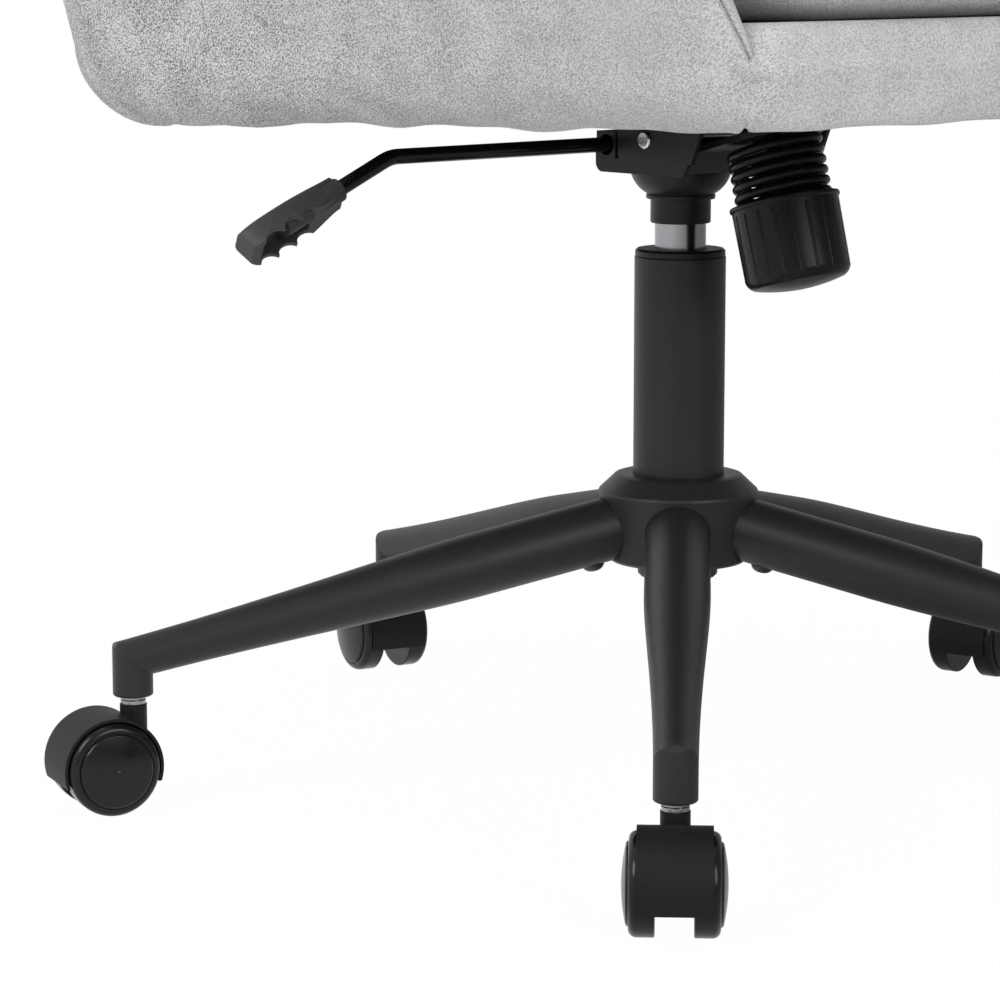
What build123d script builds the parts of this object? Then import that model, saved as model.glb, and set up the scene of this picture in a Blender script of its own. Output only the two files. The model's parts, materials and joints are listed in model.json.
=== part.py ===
"""Swivel tub chair: five leg caster base, gas column, sprung tilt seat and upholstered tub.

Millimetres. The origin is on the floor under the column, +Z is up and the sitter faces -Y.
"""
import math
import os

from build123d import *

# Driving dimensions: casters
wheel_diameter = 50.0
wheel_gap = 18.4
wheel_rim_width = 12.5
wheel_dome = 3.4
cap_diameter = 40.0
axle_diameter = 6.0
hood_width = 36.0
hood_wall = 1.7
hood_drop_deg = 18.0
stem_offset = 17.0
stem_diameter = 11.0
neck_diameter = 14.5
caster_height = 60.5

# Driving dimensions: base
leg_count = 5
leg_first_deg = 225.0
leg_circle_radius = 305.0
leg_slope_deg = 12.4
leg_root_diameter = 35.0
leg_end_diameter = 21.6
leg_wall = 2.0
socket_diameter = 21.6
hub_edge_radius = 44.3
hub_top_radius = 34.0
hub_foot_radius = 38.5
spigot_length = 44.0
knuckle_ratio = 1.14
leg_bolt_diameter = 8.0

# Driving dimensions: column
column_diameter = 50.0
column_wall = 2.2
column_rise = 120.0
column_taper = 3.0
cylinder_diameter = 28.0
cylinder_wall = 1.6
cylinder_show = 14.0
bush_length = 92.0
rod_diameter = 10.0
lift_travel = 80.0
ball_diameter = 5.0
ball_count = 10

# Driving dimensions: tilt mechanism
cone_depth = 29.0
box_half_width = 46.0
box_rear = 19.0
box_front = -33.0
sheet = 2.6
pivot_y = -23.0
pivot_rise = 18.8
pivot_diameter = 9.2
plate_rise = 20.0
foot_rise = 12.0
tongue_rise = 2.0
plate_thickness = 3.0
tilt_deg = 12.0
seat_rake_deg = 2.0
tongue_width = 58.0
tongue_sheet = 3.0
spring_tilt_deg = 15.5
spring_y = -68.0
spring_diameter = 52.0
spring_wire = 4.8
spring_turns = 9.75
spring_length = 61.0
spring_bare = 33.0
knob_diameter = 57.2
knob_height = 44.5
knob_flutes = 20
bolt_diameter = 8.0
lever_y = 8.0
lever_diameter = 8.0
lever_reach = 200.0
lever_drop_deg = 23.5
lever_pin_diameter = 4.0
guide_length = 24.0
grip_run = 38.5
grip_length = 62.0
grip_width = 22.0
grip_thickness = 15.0
grip_wall = 2.2
grip_roll_deg = 40.0

# Driving dimensions: seat
seat_half_width = 280.0
seat_back = 292.0
seat_front = 297.0
seat_corner_radius = 182.0
arm_front_half_width = 258.0
wall_back = 48.0
wall_arm = 44.0
wall_tip = 28.0
front_set = 36.0
rail_depth = 24.5
wall_flare_deg = 8.0
wall_foot_radius = 46.0
back_height = 462.0
deck_height = 49.0
board_thickness = 12.0
cover_thickness = 0.8
cushion_height = 100.0
hole_pitch_x = 160.0
hole_pitch_y = 170.0

# Named clearances
running_fit = 0.05
easy_fit = 0.15
gap = 0.4
wheel_clear = 0.8
fabric_clear = 1.5
lever_play = 1.6
valve_slack = 0.85

# Heights that follow from the sizes above
wheel_radius = wheel_diameter / 2
hood_inner = wheel_radius + wheel_clear
hood_outer = hood_inner + hood_wall
leg_slope = math.radians(leg_slope_deg)
leg_end_z = caster_height + 0.924 * leg_end_diameter
leg_root_z = leg_end_z + leg_circle_radius * math.tan(leg_slope)
hub_foot_z = leg_root_z - 0.79 * leg_root_diameter
hub_edge_z = leg_root_z + 0.33 * leg_root_diameter
hub_top_z = leg_root_z + 0.60 * leg_root_diameter
column_foot_z = hub_foot_z - 9.0
column_top_z = hub_top_z + column_rise
column_radius = column_diameter / 2
bush_flange = 4.0
bush_top_z = column_top_z + bush_flange
cylinder_radius = cylinder_diameter / 2
cone_foot_z = bush_top_z + cylinder_show
box_z = cone_foot_z + cone_depth
pivot_z = box_z + pivot_rise
plate_z = pivot_z + plate_rise - plate_thickness
seat_z = pivot_z + plate_rise
foot_z = pivot_z + foot_rise
bearing_z = column_foot_z + 3.0
bearing_top_z = bearing_z + 2 * 2.0 + ball_diameter
cylinder_foot_z = bearing_top_z + 3.0
cylinder_top_z = box_z + sheet
piston_z = cylinder_foot_z + 16.0 + lift_travel + 14.0
lever_z = pivot_z - 3.8
rod_foot_z = column_foot_z - 6.0
spring_tilt = math.radians(spring_tilt_deg)
tongue_z = pivot_z + tongue_rise
rake = seat_rake_deg

os.makedirs("parts", exist_ok=True)


def face_of(start, *steps):
    """Closed flat face: each step is an end point, or a (middle, end) pair for an arc."""
    edges, here = [], start
    for step in steps:
        if isinstance(step[0], tuple):
            edges.append(ThreePointArc(here, step[0], step[1]))
            here = step[1]
        else:
            edges.append(Line(here, step))
            here = step
    if math.dist(here, start) > 1e-6:
        edges.append(Line(here, start))
    return make_face(edges)


def turned(start, *steps):
    """Solid of revolution about Z from a (radius, height) outline."""
    return revolve(Plane.XZ * face_of(start, *steps), Axis.Z)


def dome(radius, base, rise):
    """Arc step (middle, end) from a rim point up to the axis, centred on the axis."""
    ball = (radius ** 2 + rise ** 2) / (2 * rise)
    half = math.asin(radius / ball) / 2
    return (ball * math.sin(half), base + rise - ball + ball * math.cos(half)), (0, base + rise)


def rod(radius, low, high):
    """Upright round bar between two heights."""
    return Pos(0, 0, low) * Cylinder(radius, high - low, align=(Align.CENTER, Align.CENTER, Align.MIN))


def ring(outer, inner, low, high):
    """Upright washer or sleeve."""
    return rod(outer, low, high) - rod(inner, low - 1, high + 1)


def box(x0, x1, y0, y1, z0, z1):
    """Box from its two corners."""
    return Pos((x0 + x1) / 2, (y0 + y1) / 2, (z0 + z1) / 2) * Box(x1 - x0, y1 - y0, z1 - z0)


def across(profile, x0, x1):
    """Profile in (y, z) drawn out along X between two stations."""
    return Pos(x0, 0, 0) * extrude(Plane.YZ * profile, x1 - x0)


def one(shape):
    """First solid of a result that holds one piece."""
    return shape.solids()[0] if len(shape.solids()) == 1 else shape


def leg_angle(index):
    """Direction of a leg, in degrees."""
    return leg_first_deg - index * 360.0 / leg_count


def leg_place(index):
    """Frame on a leg axis: X runs outward along the leg, Z is its upper side."""
    return Pos(0, 0, leg_root_z) * Rot(0, 0, leg_angle(index)) * Rot(0, leg_slope_deg, 0)


def along_leg(low, high, radius):
    """Round bar along the local X of a leg frame."""
    bar = Cylinder(radius, high - low, align=(Align.CENTER, Align.CENTER, Align.MIN))
    return Pos(low, 0, 0) * Rot(0, 90, 0) * bar


leg_start = hub_edge_radius - 9.0
leg_bolt_at = leg_start + 0.42 * spigot_length
leg_seat = 1.2
spigot_radius = leg_root_diameter / 2 - leg_wall - easy_fit


def make_hub():
    """Cast hub with a taper bore and a spigot for each leg."""
    bore_top = column_radius + running_fit
    slope = column_taper / (hub_top_z - column_foot_z)
    bore_foot = bore_top - slope * (hub_top_z - hub_foot_z)
    body = turned(
        (bore_foot, hub_foot_z), (hub_foot_radius - 1.5, hub_foot_z), (hub_foot_radius, hub_foot_z + 1.5),
        (hub_edge_radius - 0.15, hub_edge_z - 0.8), (hub_edge_radius - 0.6, hub_edge_z + 0.5),
        (hub_top_radius + 1.0, hub_top_z - 0.7), (hub_top_radius - 1.5, hub_top_z), (bore_top, hub_top_z))
    recess = along_leg(leg_start - easy_fit, leg_start + 40, leg_root_diameter / 2 + easy_fit)
    spigot = along_leg(leg_start - 6.0, leg_start + spigot_length, spigot_radius)
    hole = Pos(leg_bolt_at, 0, -spigot_radius) * Cylinder(leg_bolt_diameter / 2 + running_fit, 1.6 * spigot_radius)
    places = [leg_place(index) for index in range(leg_count)]
    body = body - [place * recess for place in places]
    body = body + [place * spigot for place in places]
    body = body - [place * hole for place in places]
    return one(body - turned((0, hub_foot_z - 9), (bore_foot - 9 * slope, hub_foot_z - 9),
                             (bore_top, hub_top_z), (bore_top, hub_top_z + 9), (0, hub_top_z + 9)))


def leg_profile(shrink, low, high):
    """Half outline of a tapered leg tube about its own axis."""
    root, tip = leg_root_diameter / 2 - shrink, leg_end_diameter / 2 - shrink
    span = leg_circle_radius / math.cos(leg_slope)
    bend = 0.37 * span
    knots = [(bend, root), (0.52 * span, root - 0.19 * (root - tip)), (0.69 * span, root - 0.57 * (root - tip)),
             (0.85 * span, root - 0.86 * (root - tip)), (high, tip)]
    curve = Spline(*knots, tangents=[(1, 0), (1, -0.012)])
    sides = [Line((low, 0), (low, root)), Line((low, root), (bend, root)), curve,
             Line((high, tip), (high, 0)), Line((high, 0), (low, 0))]
    return revolve(Plane.XY * make_face(sides), Axis.X)


def make_leg(index):
    """Tapered steel leg with the upright caster socket mitred onto its end."""
    span = leg_circle_radius / math.cos(leg_slope)
    radius = leg_end_diameter / 2
    tube = leg_profile(0, leg_start, span) + along_leg(span, span + leg_end_diameter, radius)
    tube = tube - leg_profile(leg_wall, leg_start - 1, span - 1.5 * leg_end_diameter)
    tube = tube - Pos(leg_bolt_at, 0, -leg_root_diameter / 2) * Cylinder(leg_bolt_diameter / 2 + easy_fit, 12)
    tube = tube - Pos(leg_bolt_at, 0, leg_seat - leg_root_diameter / 2 - 5) * Cylinder(0.85 * leg_bolt_diameter, 10)
    spot = Rot(0, 0, leg_angle(index)) * Pos(leg_circle_radius, 0, 0)
    socket = rod(radius, caster_height, leg_end_z + 1.5 * leg_end_diameter)
    socket = fillet(socket.edges().group_by(Axis.Z)[0], 1.3)
    corner = spot * Pos(0, 0, leg_end_z)
    half = Box(500, 200, 200, align=(Align.CENTER, Align.CENTER, Align.MIN))
    mitre = corner * Rot(0, 135 + leg_slope_deg / 2, 0) * half
    body = (leg_place(index) * tube - mitre) + (spot * socket & mitre)
    reach = leg_end_diameter / 2
    knuckle = Pos(0, 0, 0.6 * reach) * Box(1.1 * reach, 60, 4 * reach, align=(Align.CENTER, Align.CENTER, Align.MIN))
    knuckle = knuckle - Rot(90, 0, 0) * Cylinder(knuckle_ratio * reach, 80)
    body = body - corner * Rot(0, 45 + leg_slope_deg / 2, 0) * knuckle
    bore = rod(stem_diameter / 2 + running_fit, caster_height - 1, caster_height + 23)
    return one(body - spot * bore)


def make_leg_bolts():
    """Domed bolts that hold the legs on the hub spigots from below."""
    head = 0.8 * leg_bolt_diameter
    seat = leg_seat - leg_root_diameter / 2
    top = -0.2 * spigot_radius - 0.3
    body = turned((0, seat - 0.55 * leg_bolt_diameter), (0.35 * head, seat - 0.55 * leg_bolt_diameter),
                  ((0.82 * head, seat - 0.36 * leg_bolt_diameter), (head, seat)),
                  (leg_bolt_diameter / 2, seat), (leg_bolt_diameter / 2, top), (0, top))
    socket = Pos(0, 0, seat - 0.6 * leg_bolt_diameter) * extrude(RegularPolygon(0.3 * leg_bolt_diameter, 6), 2.2)
    return [leg_place(i) * Pos(leg_bolt_at, 0, 0) * (body - socket) for i in range(leg_count)]


# Caster directions at rest, measured from each leg
caster_turns = [0.0, 10.0, -6.0, 6.0, -10.0]


def caster_place(index):
    """Frame of a caster: origin on the floor under the stem, X towards the axle."""
    spot = Rot(0, 0, leg_angle(index)) * Pos(leg_circle_radius, 0, 0)
    return spot * Rot(0, 0, caster_turns[index])


axle_spot = Pos(stem_offset, 0, wheel_radius) * Rot(90, 0, 0)
web_half = wheel_gap / 2 - wheel_clear
stem_foot = wheel_radius + 11.0
stem_flange_z = caster_height - 1.0
neck_top = stem_flange_z - 3.6


def make_hood(index):
    """Caster hood: fender over the wheels, middle web and neck, open below."""
    fender = ring(hood_outer, hood_inner, -hood_width / 2, hood_width / 2)
    web = rod(hood_inner + 0.4 * hood_wall, -web_half, web_half)
    body = axle_spot * (fender + web)
    low = wheel_radius - hood_outer * math.sin(math.radians(hood_drop_deg))
    body = body - box(-60, 90, -40, 40, -40, low)
    body = body + rod(neck_diameter / 2, wheel_radius + 8.0, neck_top)
    body = body - rod(stem_diameter / 2 + running_fit, stem_foot - gap, neck_top + 5)
    body = body - axle_spot * rod(axle_diameter / 2 + 0.02, -web_half - 5, web_half + 5)
    return caster_place(index) * one(body)


def make_stem(index):
    """Caster stem with its bright flange, pressed into the leg socket."""
    radius = stem_diameter / 2
    body = turned((0, stem_foot), (radius, stem_foot), (radius, neck_top + gap),
                  (0.62 * stem_diameter, neck_top + gap), (0.62 * stem_diameter, stem_flange_z - 1.2),
                  (0.56 * stem_diameter, stem_flange_z - 0.8), (0.56 * stem_diameter, caster_height - gap),
                  (radius, caster_height - gap), (radius, caster_height + 15), (radius - 0.8, caster_height + 15.4),
                  (radius - 0.8, caster_height + 17.6), (radius, caster_height + 18),
                  (radius, caster_height + 20.5), (radius - 1.5, caster_height + 22), (0, caster_height + 22))
    return Rot(0, 0, leg_angle(index)) * Pos(leg_circle_radius, 0, 0) * body


def make_grip_ring(index):
    """Sprung ring in the stem groove."""
    radius = stem_diameter / 2
    body = ring(radius + 0.02, radius - 0.7, caster_height + 15.7, caster_height + 17.3)
    return Rot(0, 0, leg_angle(index)) * Pos(leg_circle_radius, 0, 0) * body


rim_in = wheel_gap / 2
rim_out = rim_in + wheel_rim_width
axle_half = rim_out - 2.0


def make_axle(index):
    """Steel axle through the hood web."""
    return caster_place(index) * axle_spot * rod(axle_diameter / 2, -axle_half, axle_half)


def make_wheel(index, side):
    """Twin wheel with a rounded tread edge and a domed cap."""
    cap, groove = cap_diameter / 2, 0.7
    edge = 0.8 * (wheel_radius - cap)
    bore = axle_diameter / 2 + running_fit
    lean = 0.293 * edge
    body = turned((bore, rim_in), (wheel_radius - 0.6, rim_in), (wheel_radius, rim_in + 0.6),
                  (wheel_radius, rim_out - edge), ((wheel_radius - lean, rim_out - lean),
                                                   (wheel_radius - edge, rim_out)),
                  (cap + groove, rim_out), (cap + groove, rim_out - 0.8), (cap, rim_out - 0.8),
                  (cap, rim_out + 0.5), (0.96 * cap, rim_out + 0.36 * wheel_dome),
                  dome(0.96 * cap, rim_out + 0.36 * wheel_dome, 0.64 * wheel_dome),
                  (0, axle_half + gap), (bore, axle_half + gap))
    turn = Rot(0, 0, 0) if side > 0 else Rot(180, 0, 0)
    return caster_place(index) * axle_spot * turn * body


def make_column_tube():
    """Outer column tube with its tapered foot and closed end."""
    foot = column_radius - column_taper
    hole = rod_diameter / 2 + 1.0
    return turned((hole, column_foot_z), (foot - 1.5, column_foot_z), (foot, column_foot_z + 1.5),
                  (column_radius, hub_top_z), (column_radius, column_top_z - 0.6),
                  (column_radius - 0.6, column_top_z), (column_radius - column_wall, column_top_z),
                  (column_radius - column_wall, hub_top_z), (foot - column_wall, bearing_z), (hole, bearing_z))


def make_column_bush():
    """Plastic guide bush with a flange on top of the tube."""
    bore = cylinder_radius + running_fit
    outer = column_radius - column_wall - running_fit
    low, flange = column_top_z - bush_length, column_radius - 0.3
    return turned((bore, low), (outer, low), (outer, column_top_z), (flange, column_top_z),
                  (flange, bush_top_z - 1.2), (flange - 1.2, bush_top_z), (bore, bush_top_z))


race_outer = column_radius - column_taper - column_wall - 0.6


def make_lower_race():
    """Fixed race of the thrust bearing."""
    return ring(race_outer, rod_diameter / 2 + 1.0, bearing_z, bearing_z + 2.0)


def make_upper_race():
    """Turning race of the thrust bearing, under the rod collar."""
    return ring(race_outer - 0.6, rod_diameter / 2 + 0.02, bearing_top_z - 2.0 + gap, bearing_top_z)


ball_track = (race_outer + rod_diameter / 2 + 1.0) / 2


def make_balls():
    """Bearing balls on the lower race."""
    ball = Pos(ball_track, 0, bearing_z + 2.0 + ball_diameter / 2) * Sphere(ball_diameter / 2)
    return [Rot(0, 0, i * 360.0 / ball_count) * ball for i in range(ball_count)]


def make_piston_rod():
    """Piston rod with a collar on the bearing and a clip groove below the column."""
    radius = rod_diameter / 2
    neck = radius - 0.8
    return turned((0, rod_foot_z), (radius - 0.8, rod_foot_z), (radius, rod_foot_z + 0.8),
                  (radius, column_foot_z - 2.0), (neck, column_foot_z - 2.0), (neck, column_foot_z - gap),
                  (radius, column_foot_z - gap), (radius, bearing_top_z), (radius + 3.0, bearing_top_z),
                  (radius + 3.0, bearing_top_z + 2.0), (radius, bearing_top_z + 2.0),
                  (radius, piston_z + 12.0), (0, piston_z + 12.0))


def make_rod_clip():
    """Retaining clip under the column end."""
    return ring(rod_diameter / 2 + 3.5, rod_diameter / 2 - 0.75, column_foot_z - 1.8, column_foot_z - gap - 0.2)


def make_piston():
    """Piston on the rod inside the gas cylinder."""
    return ring(cylinder_radius - cylinder_wall - running_fit, rod_diameter / 2 + 0.02, piston_z, piston_z + 11.0)


def make_cylinder():
    """Bright gas cylinder with a tapered top in the mechanism cone."""
    bore = cylinder_radius - cylinder_wall
    top = cylinder_radius - 1.0
    valve = 3.0 + running_fit
    return turned((bore, cylinder_foot_z), (cylinder_radius - 0.5, cylinder_foot_z),
                  (cylinder_radius, cylinder_foot_z + 0.5), (cylinder_radius, cone_foot_z),
                  (top, cylinder_top_z), (valve, cylinder_top_z), (valve, cylinder_top_z - 4.0),
                  (bore - 1.0, cylinder_top_z - 4.0), (bore, cylinder_top_z - 8.0))


def make_seal():
    """Rod guide and seal in the foot of the gas cylinder."""
    return ring(cylinder_radius - cylinder_wall - 0.02, rod_diameter / 2 + running_fit,
                cylinder_foot_z + 1.0, cylinder_foot_z + 15.0)


def make_release_pin():
    """Valve pin that the lever presses."""
    top = lever_z - lever_diameter / 2 - valve_slack
    return turned((0, cylinder_top_z - 9.0), (4.5, cylinder_top_z - 9.0), (4.5, cylinder_top_z - 8.2),
                  (3.0, cylinder_top_z - 8.2), (3.0, top - 0.6), (2.4, top), (0, top))


def make_cone():
    """Pressed dish and taper tube that sit on the gas cylinder."""
    low, lip = cone_foot_z, cone_foot_z + 0.45 * cone_depth
    fit = running_fit
    wide = 0.547 * column_diameter
    slope = 1.0 / (cylinder_top_z - cone_foot_z)
    bore_top = cylinder_radius + fit - slope * (box_z + sheet - cone_foot_z)
    return turned((cylinder_radius + fit, low), (cylinder_radius + 2.0, low), (cylinder_radius + 2.5, low + 0.6),
                  (cylinder_radius + 2.5, lip), (cylinder_radius + 4.4, lip), (cylinder_radius + 4.9, lip + 0.6),
                  (cylinder_radius + 4.9, lip + 2.2), (cylinder_radius + 4.4, lip + 2.8),
                  ((0.5 * (cylinder_radius + wide) + 3.2, lip + 0.46 * cone_depth - 6.0), (wide, box_z - 1.6)),
                  (wide, box_z), (cylinder_radius + 3.0, box_z), (cylinder_radius + 3.0, box_z + sheet),
                  (bore_top, box_z + sheet))


tongue_bend = spring_y + spring_diameter / 2 + 1.0
wall_x = box_half_width - sheet


def tongue_line(y):
    """Height of the tongue's middle plane over its sloping seat."""
    return tongue_z + (spring_y - y) * math.tan(spring_tilt)


def make_tilt_box():
    """Pressed tilt box: floor, walls with axle ears, and the sloping tongue for the spring."""
    ear = 0.83 * pivot_diameter + 0.4
    rear_top = lever_z - 0.5
    floor = box(-box_half_width, box_half_width, box_front, box_rear, box_z, box_z + sheet)
    side = face_of((box_rear - 5, box_z), (box_front - 14, box_z), (box_front - 18, box_z + 6),
                   (pivot_y - ear - 6, pivot_z - 4), (pivot_y - ear, pivot_z),
                   ((pivot_y, pivot_z + ear), (pivot_y + ear, pivot_z)), (pivot_y + ear + 5, rear_top),
                   (box_rear, rear_top), (box_rear, box_z + 5), ((box_rear - 1.5, box_z + 1.5), (box_rear - 5, box_z)))
    body = floor - box(-100, 100, box_rear - 5, box_rear + 1, box_z - 1, box_z + 9)
    body = body + across(side, -box_half_width, -wall_x) + across(side, wall_x, box_half_width)
    sill = lever_z - guide_size / 2 - 1.5
    body = body + box(-box_half_width, box_half_width, box_rear - 5 - sheet, box_rear - 5, box_z, sill)
    half = tongue_sheet / 2
    up = half / math.cos(spring_tilt)
    start = box_front + 6.0
    end = spring_y - 0.46 * tongue_width
    strip = face_of((start, box_z), (start, box_z + tongue_sheet), (tongue_bend + 1.5, tongue_line(tongue_bend) + up),
                    (end, tongue_line(end) + up), (end, tongue_line(end) - up),
                    (tongue_bend, tongue_line(tongue_bend) - up), (box_front, box_z))
    tongue = across(strip, -tongue_width / 2, tongue_width / 2)
    nose = spring_frame * Pos(0, 0, -half) * rod(tongue_width / 2 - 1.0, -60, 60)
    nose = nose + box(-tongue_width, tongue_width, spring_y, 40, box_z - 20, box_z + 80)
    body = body + (tongue & nose)
    body = body - spring_frame * rod(bolt_diameter / 2 + 7.0, -15, 15)
    body = body - rod(cylinder_radius + 3.0 + easy_fit, box_z - 1, box_z + sheet + 1)
    body = body - Pos(0, pivot_y, pivot_z) * Rot(0, 90, 0) * Cylinder(pivot_diameter / 2 + 0.02, 200)
    window = guide_size / 2 + easy_fit
    return one(body - box(-box_half_width - 3, -wall_x + 3, lever_y - window, lever_y + window,
                          lever_z - window, lever_z + 60))


# Frame on the spring axis: origin on the underside of the tongue, Z pointing down the axis
spring_frame = (Pos(0, spring_y, tongue_z) * Rot(-spring_tilt_deg, 0, 0)
                * Rot(180, 0, 0) * Pos(0, 0, tongue_sheet / 2))
guide_size = lever_diameter + 2 * lever_play + 3.2


def make_axle_pin():
    """Tilt axle through the box and the seat plate flanges."""
    half = flange_x + sheet + 1.6
    pin = turned((0, -half), (pivot_diameter / 2 - 0.8, -half), (pivot_diameter / 2, -half + 0.8),
                 (pivot_diameter / 2, half - 0.8), (pivot_diameter / 2 - 0.8, half), (0, half))
    return Pos(0, pivot_y, pivot_z) * Rot(0, 90, 0) * pin


flange_x = box_half_width + gap + 1.2


def tilted(shape):
    """Turn a piece of the seat back by the seat's rake about the tilt axle."""
    return Pos(0, pivot_y, pivot_z) * Rot(-rake, 0, 0) * Pos(0, -pivot_y, -pivot_z) * shape


def make_seat_plate():
    """Seat plate: cross bars with bolt holes and two down-turned flanges on the tilt axle."""
    low = box_z + 6.0
    bar_x, bar_y = hole_pitch_x / 2 + 16.0, hole_pitch_y / 2
    mid = spring_y / 2 + 12.0
    plate = box(-flange_x - sheet, flange_x + sheet, mid - bar_y, mid + bar_y, plate_z, seat_z)
    for end in (-1, 1):
        plate = plate + box(-bar_x, bar_x, mid + end * bar_y - 16, mid + end * bar_y + 16, plate_z, seat_z)
    slope = 0.45 * (plate_z - low)
    rear = lever_y - guide_size / 2 - 3.0
    flange = face_of((pivot_y - 34.0, low), (pivot_y - 34.0 - slope, plate_z + 0.5),
                     (rear, plate_z + 0.5), (rear, low + 6.0), ((rear - 1.8, low + 1.8), (rear - 6.0, low)))
    plate = plate + across(flange, -flange_x - sheet, -flange_x) + across(flange, flange_x, flange_x + sheet)
    hole = rod(bolt_diameter / 2 + 0.5, plate_z - 20, seat_z + 20)
    plate = plate - [Pos(sx * hole_pitch_x / 2, mid + sy * bar_y, 0) * hole for sx in (-1, 1) for sy in (-1, 1)]
    plate = plate - Pos(0, pivot_y, pivot_z) * Rot(0, 90, 0) * Cylinder(pivot_diameter / 2 + running_fit, 240)
    return one(tilted(plate) - spring_frame * rod(bolt_diameter / 2 + 0.3, -40, 0))


seat_mid = spring_y / 2 + 12.0


def bolt_spots():
    """The four seat bolt positions."""
    return [Pos(sx * hole_pitch_x / 2, seat_mid + sy * hole_pitch_y / 2, 0) for sx in (-1, 1) for sy in (-1, 1)]


def make_seat_bolts():
    """Bolts from below through plate, cover and board."""
    radius, head = bolt_diameter / 2, 0.82 * bolt_diameter
    top = seat_z + cover_thickness + board_thickness + 5.0
    body = turned((0, plate_z - 0.62 * bolt_diameter), (head - 1.0, plate_z - 0.62 * bolt_diameter),
                  (head, plate_z - 0.62 * bolt_diameter + 1.0), (head, plate_z), (radius, plate_z),
                  (radius, top), (0, top))
    hexagon = Pos(0, 0, plate_z - 0.7 * bolt_diameter) * extrude(RegularPolygon(0.42 * bolt_diameter, 6), 3.0)
    return [tilted(spot * (body - hexagon)) for spot in bolt_spots()]


def make_seat_nuts():
    """Flanged nuts let into the top of the seat board."""
    top = seat_z + cover_thickness + board_thickness
    radius = bolt_diameter / 2 + 0.1
    body = turned((radius, top - 8.0), (radius + 1.4, top - 8.0), (radius + 1.4, top), (radius + 6.0, top),
                  (radius + 6.0, top + 1.5), (radius, top + 1.5))
    return [tilted(spot * body) for spot in bolt_spots()]


plate_lift = (pivot_y - spring_y) * math.sin(math.radians(rake))
bolt_head = 0.7 * bolt_diameter
bolt_lean = 0.8 * bolt_diameter * math.sin(spring_tilt)
bolt_top = (seat_z + plate_lift - tongue_z) / math.cos(spring_tilt) + tongue_sheet / 2 + bolt_lean + bolt_head
washer_at = spring_length + 0.2
washer_thickness = 2.5
nut_at = washer_at + washer_thickness + gap


def make_tension_bolt():
    """Long bolt from the seat plate down through the spring into the knob nut."""
    radius = bolt_diameter / 2
    low = nut_at + 0.8 * bolt_diameter + 3.0
    body = turned((0, -bolt_top), (1.6 * radius, -bolt_top), (1.6 * radius, bolt_head - bolt_top),
                  (radius, bolt_head - bolt_top), (radius, low - 1), (radius - 1, low), (0, low))
    return spring_frame * body


def make_washer():
    """Washer that carries the foot of the spring inside the knob."""
    return spring_frame * ring(spring_diameter / 2 - 0.5, bolt_diameter / 2 + 0.3,
                               washer_at, washer_at + washer_thickness)


def make_knob_nut():
    """Nut held in the knob."""
    body = extrude(RegularPolygon(0.93 * bolt_diameter, 6), 0.8 * bolt_diameter)
    body = body - rod(bolt_diameter / 2 + 0.1, -1, 20)
    return spring_frame * Pos(0, 0, nut_at) * body


def make_knob():
    """Tension knob: a fluted cup around the lower spring with a bevelled foot."""
    radius = knob_diameter / 2
    top, foot = spring_bare, spring_bare + knob_height
    cup = spring_diameter / 2 + 0.6
    floor = washer_at + washer_thickness + 0.2
    body = turned((cup, top), (radius + 0.5, top), (radius + 0.9, top + 0.7), (radius + 0.9, top + 2.0),
                  (radius, top + 2.8), (radius - 0.4, foot - 5.0), ((radius - 1.6, foot - 2.2), (radius - 4.2, foot)),
                  dome(radius - 4.2, foot, 3.4), (0, floor), (cup, floor))
    groove = Pos(radius + 0.15, 0, 0) * rod(0.95, top + 5.0, foot - 3.0)
    body = body - [Rot(0, 0, (i + 0.3) * 360.0 / knob_flutes) * groove for i in range(knob_flutes)]
    pocket = extrude(RegularPolygon(0.93 * bolt_diameter + 0.25, 6), 0.8 * bolt_diameter + gap)
    body = body - Pos(0, 0, nut_at - 0.2) * pocket
    body = body - rod(bolt_diameter / 2 + 0.4, floor - 1, nut_at + 0.8 * bolt_diameter + 4.5)
    return spring_frame * one(body)


def spring_point(turn):
    """Point on the spring's centre line, in the spring frame."""
    radius = (spring_diameter - spring_wire) / 2
    low, high = spring_wire / 2 + gap, spring_length - spring_wire / 2 - gap
    angle = 2 * math.pi * turn
    return (radius * math.cos(angle), radius * math.sin(angle), low + (high - low) * turn / spring_turns)


def make_spring():
    """Coil spring as one tube swept on quarter turns."""
    quarters = int(round(4 * spring_turns))
    arcs = [ThreePointArc(spring_point(i / 4), spring_point(i / 4 + 0.125), spring_point(i / 4 + 0.25))
            for i in range(quarters)]
    path = Wire(arcs)
    section = Plane(origin=path @ 0, z_dir=path % 0) * Circle(spring_wire / 2)
    points = [spring_point(i / 48) for i in range(48 * quarters // 4)]
    least = min(math.dist(a, b) for i, a in enumerate(points) for b in points[i + 24:])
    print("spring: least gap between turns %.2f mm" % (least - spring_wire))
    return spring_frame * sweep(section, path)


bend_radius = 3.0 * lever_diameter
lever_drop = math.radians(lever_drop_deg)
lever_hinge_x = -(wall_x + sheet / 2)


def lever_point(run):
    """Point on the sloping end of the lever, a run past the bend."""
    return (-lever_reach - run * math.cos(lever_drop), lever_y, lever_z - run * math.sin(lever_drop))


rod_run = grip_run + 0.45 * grip_length


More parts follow.
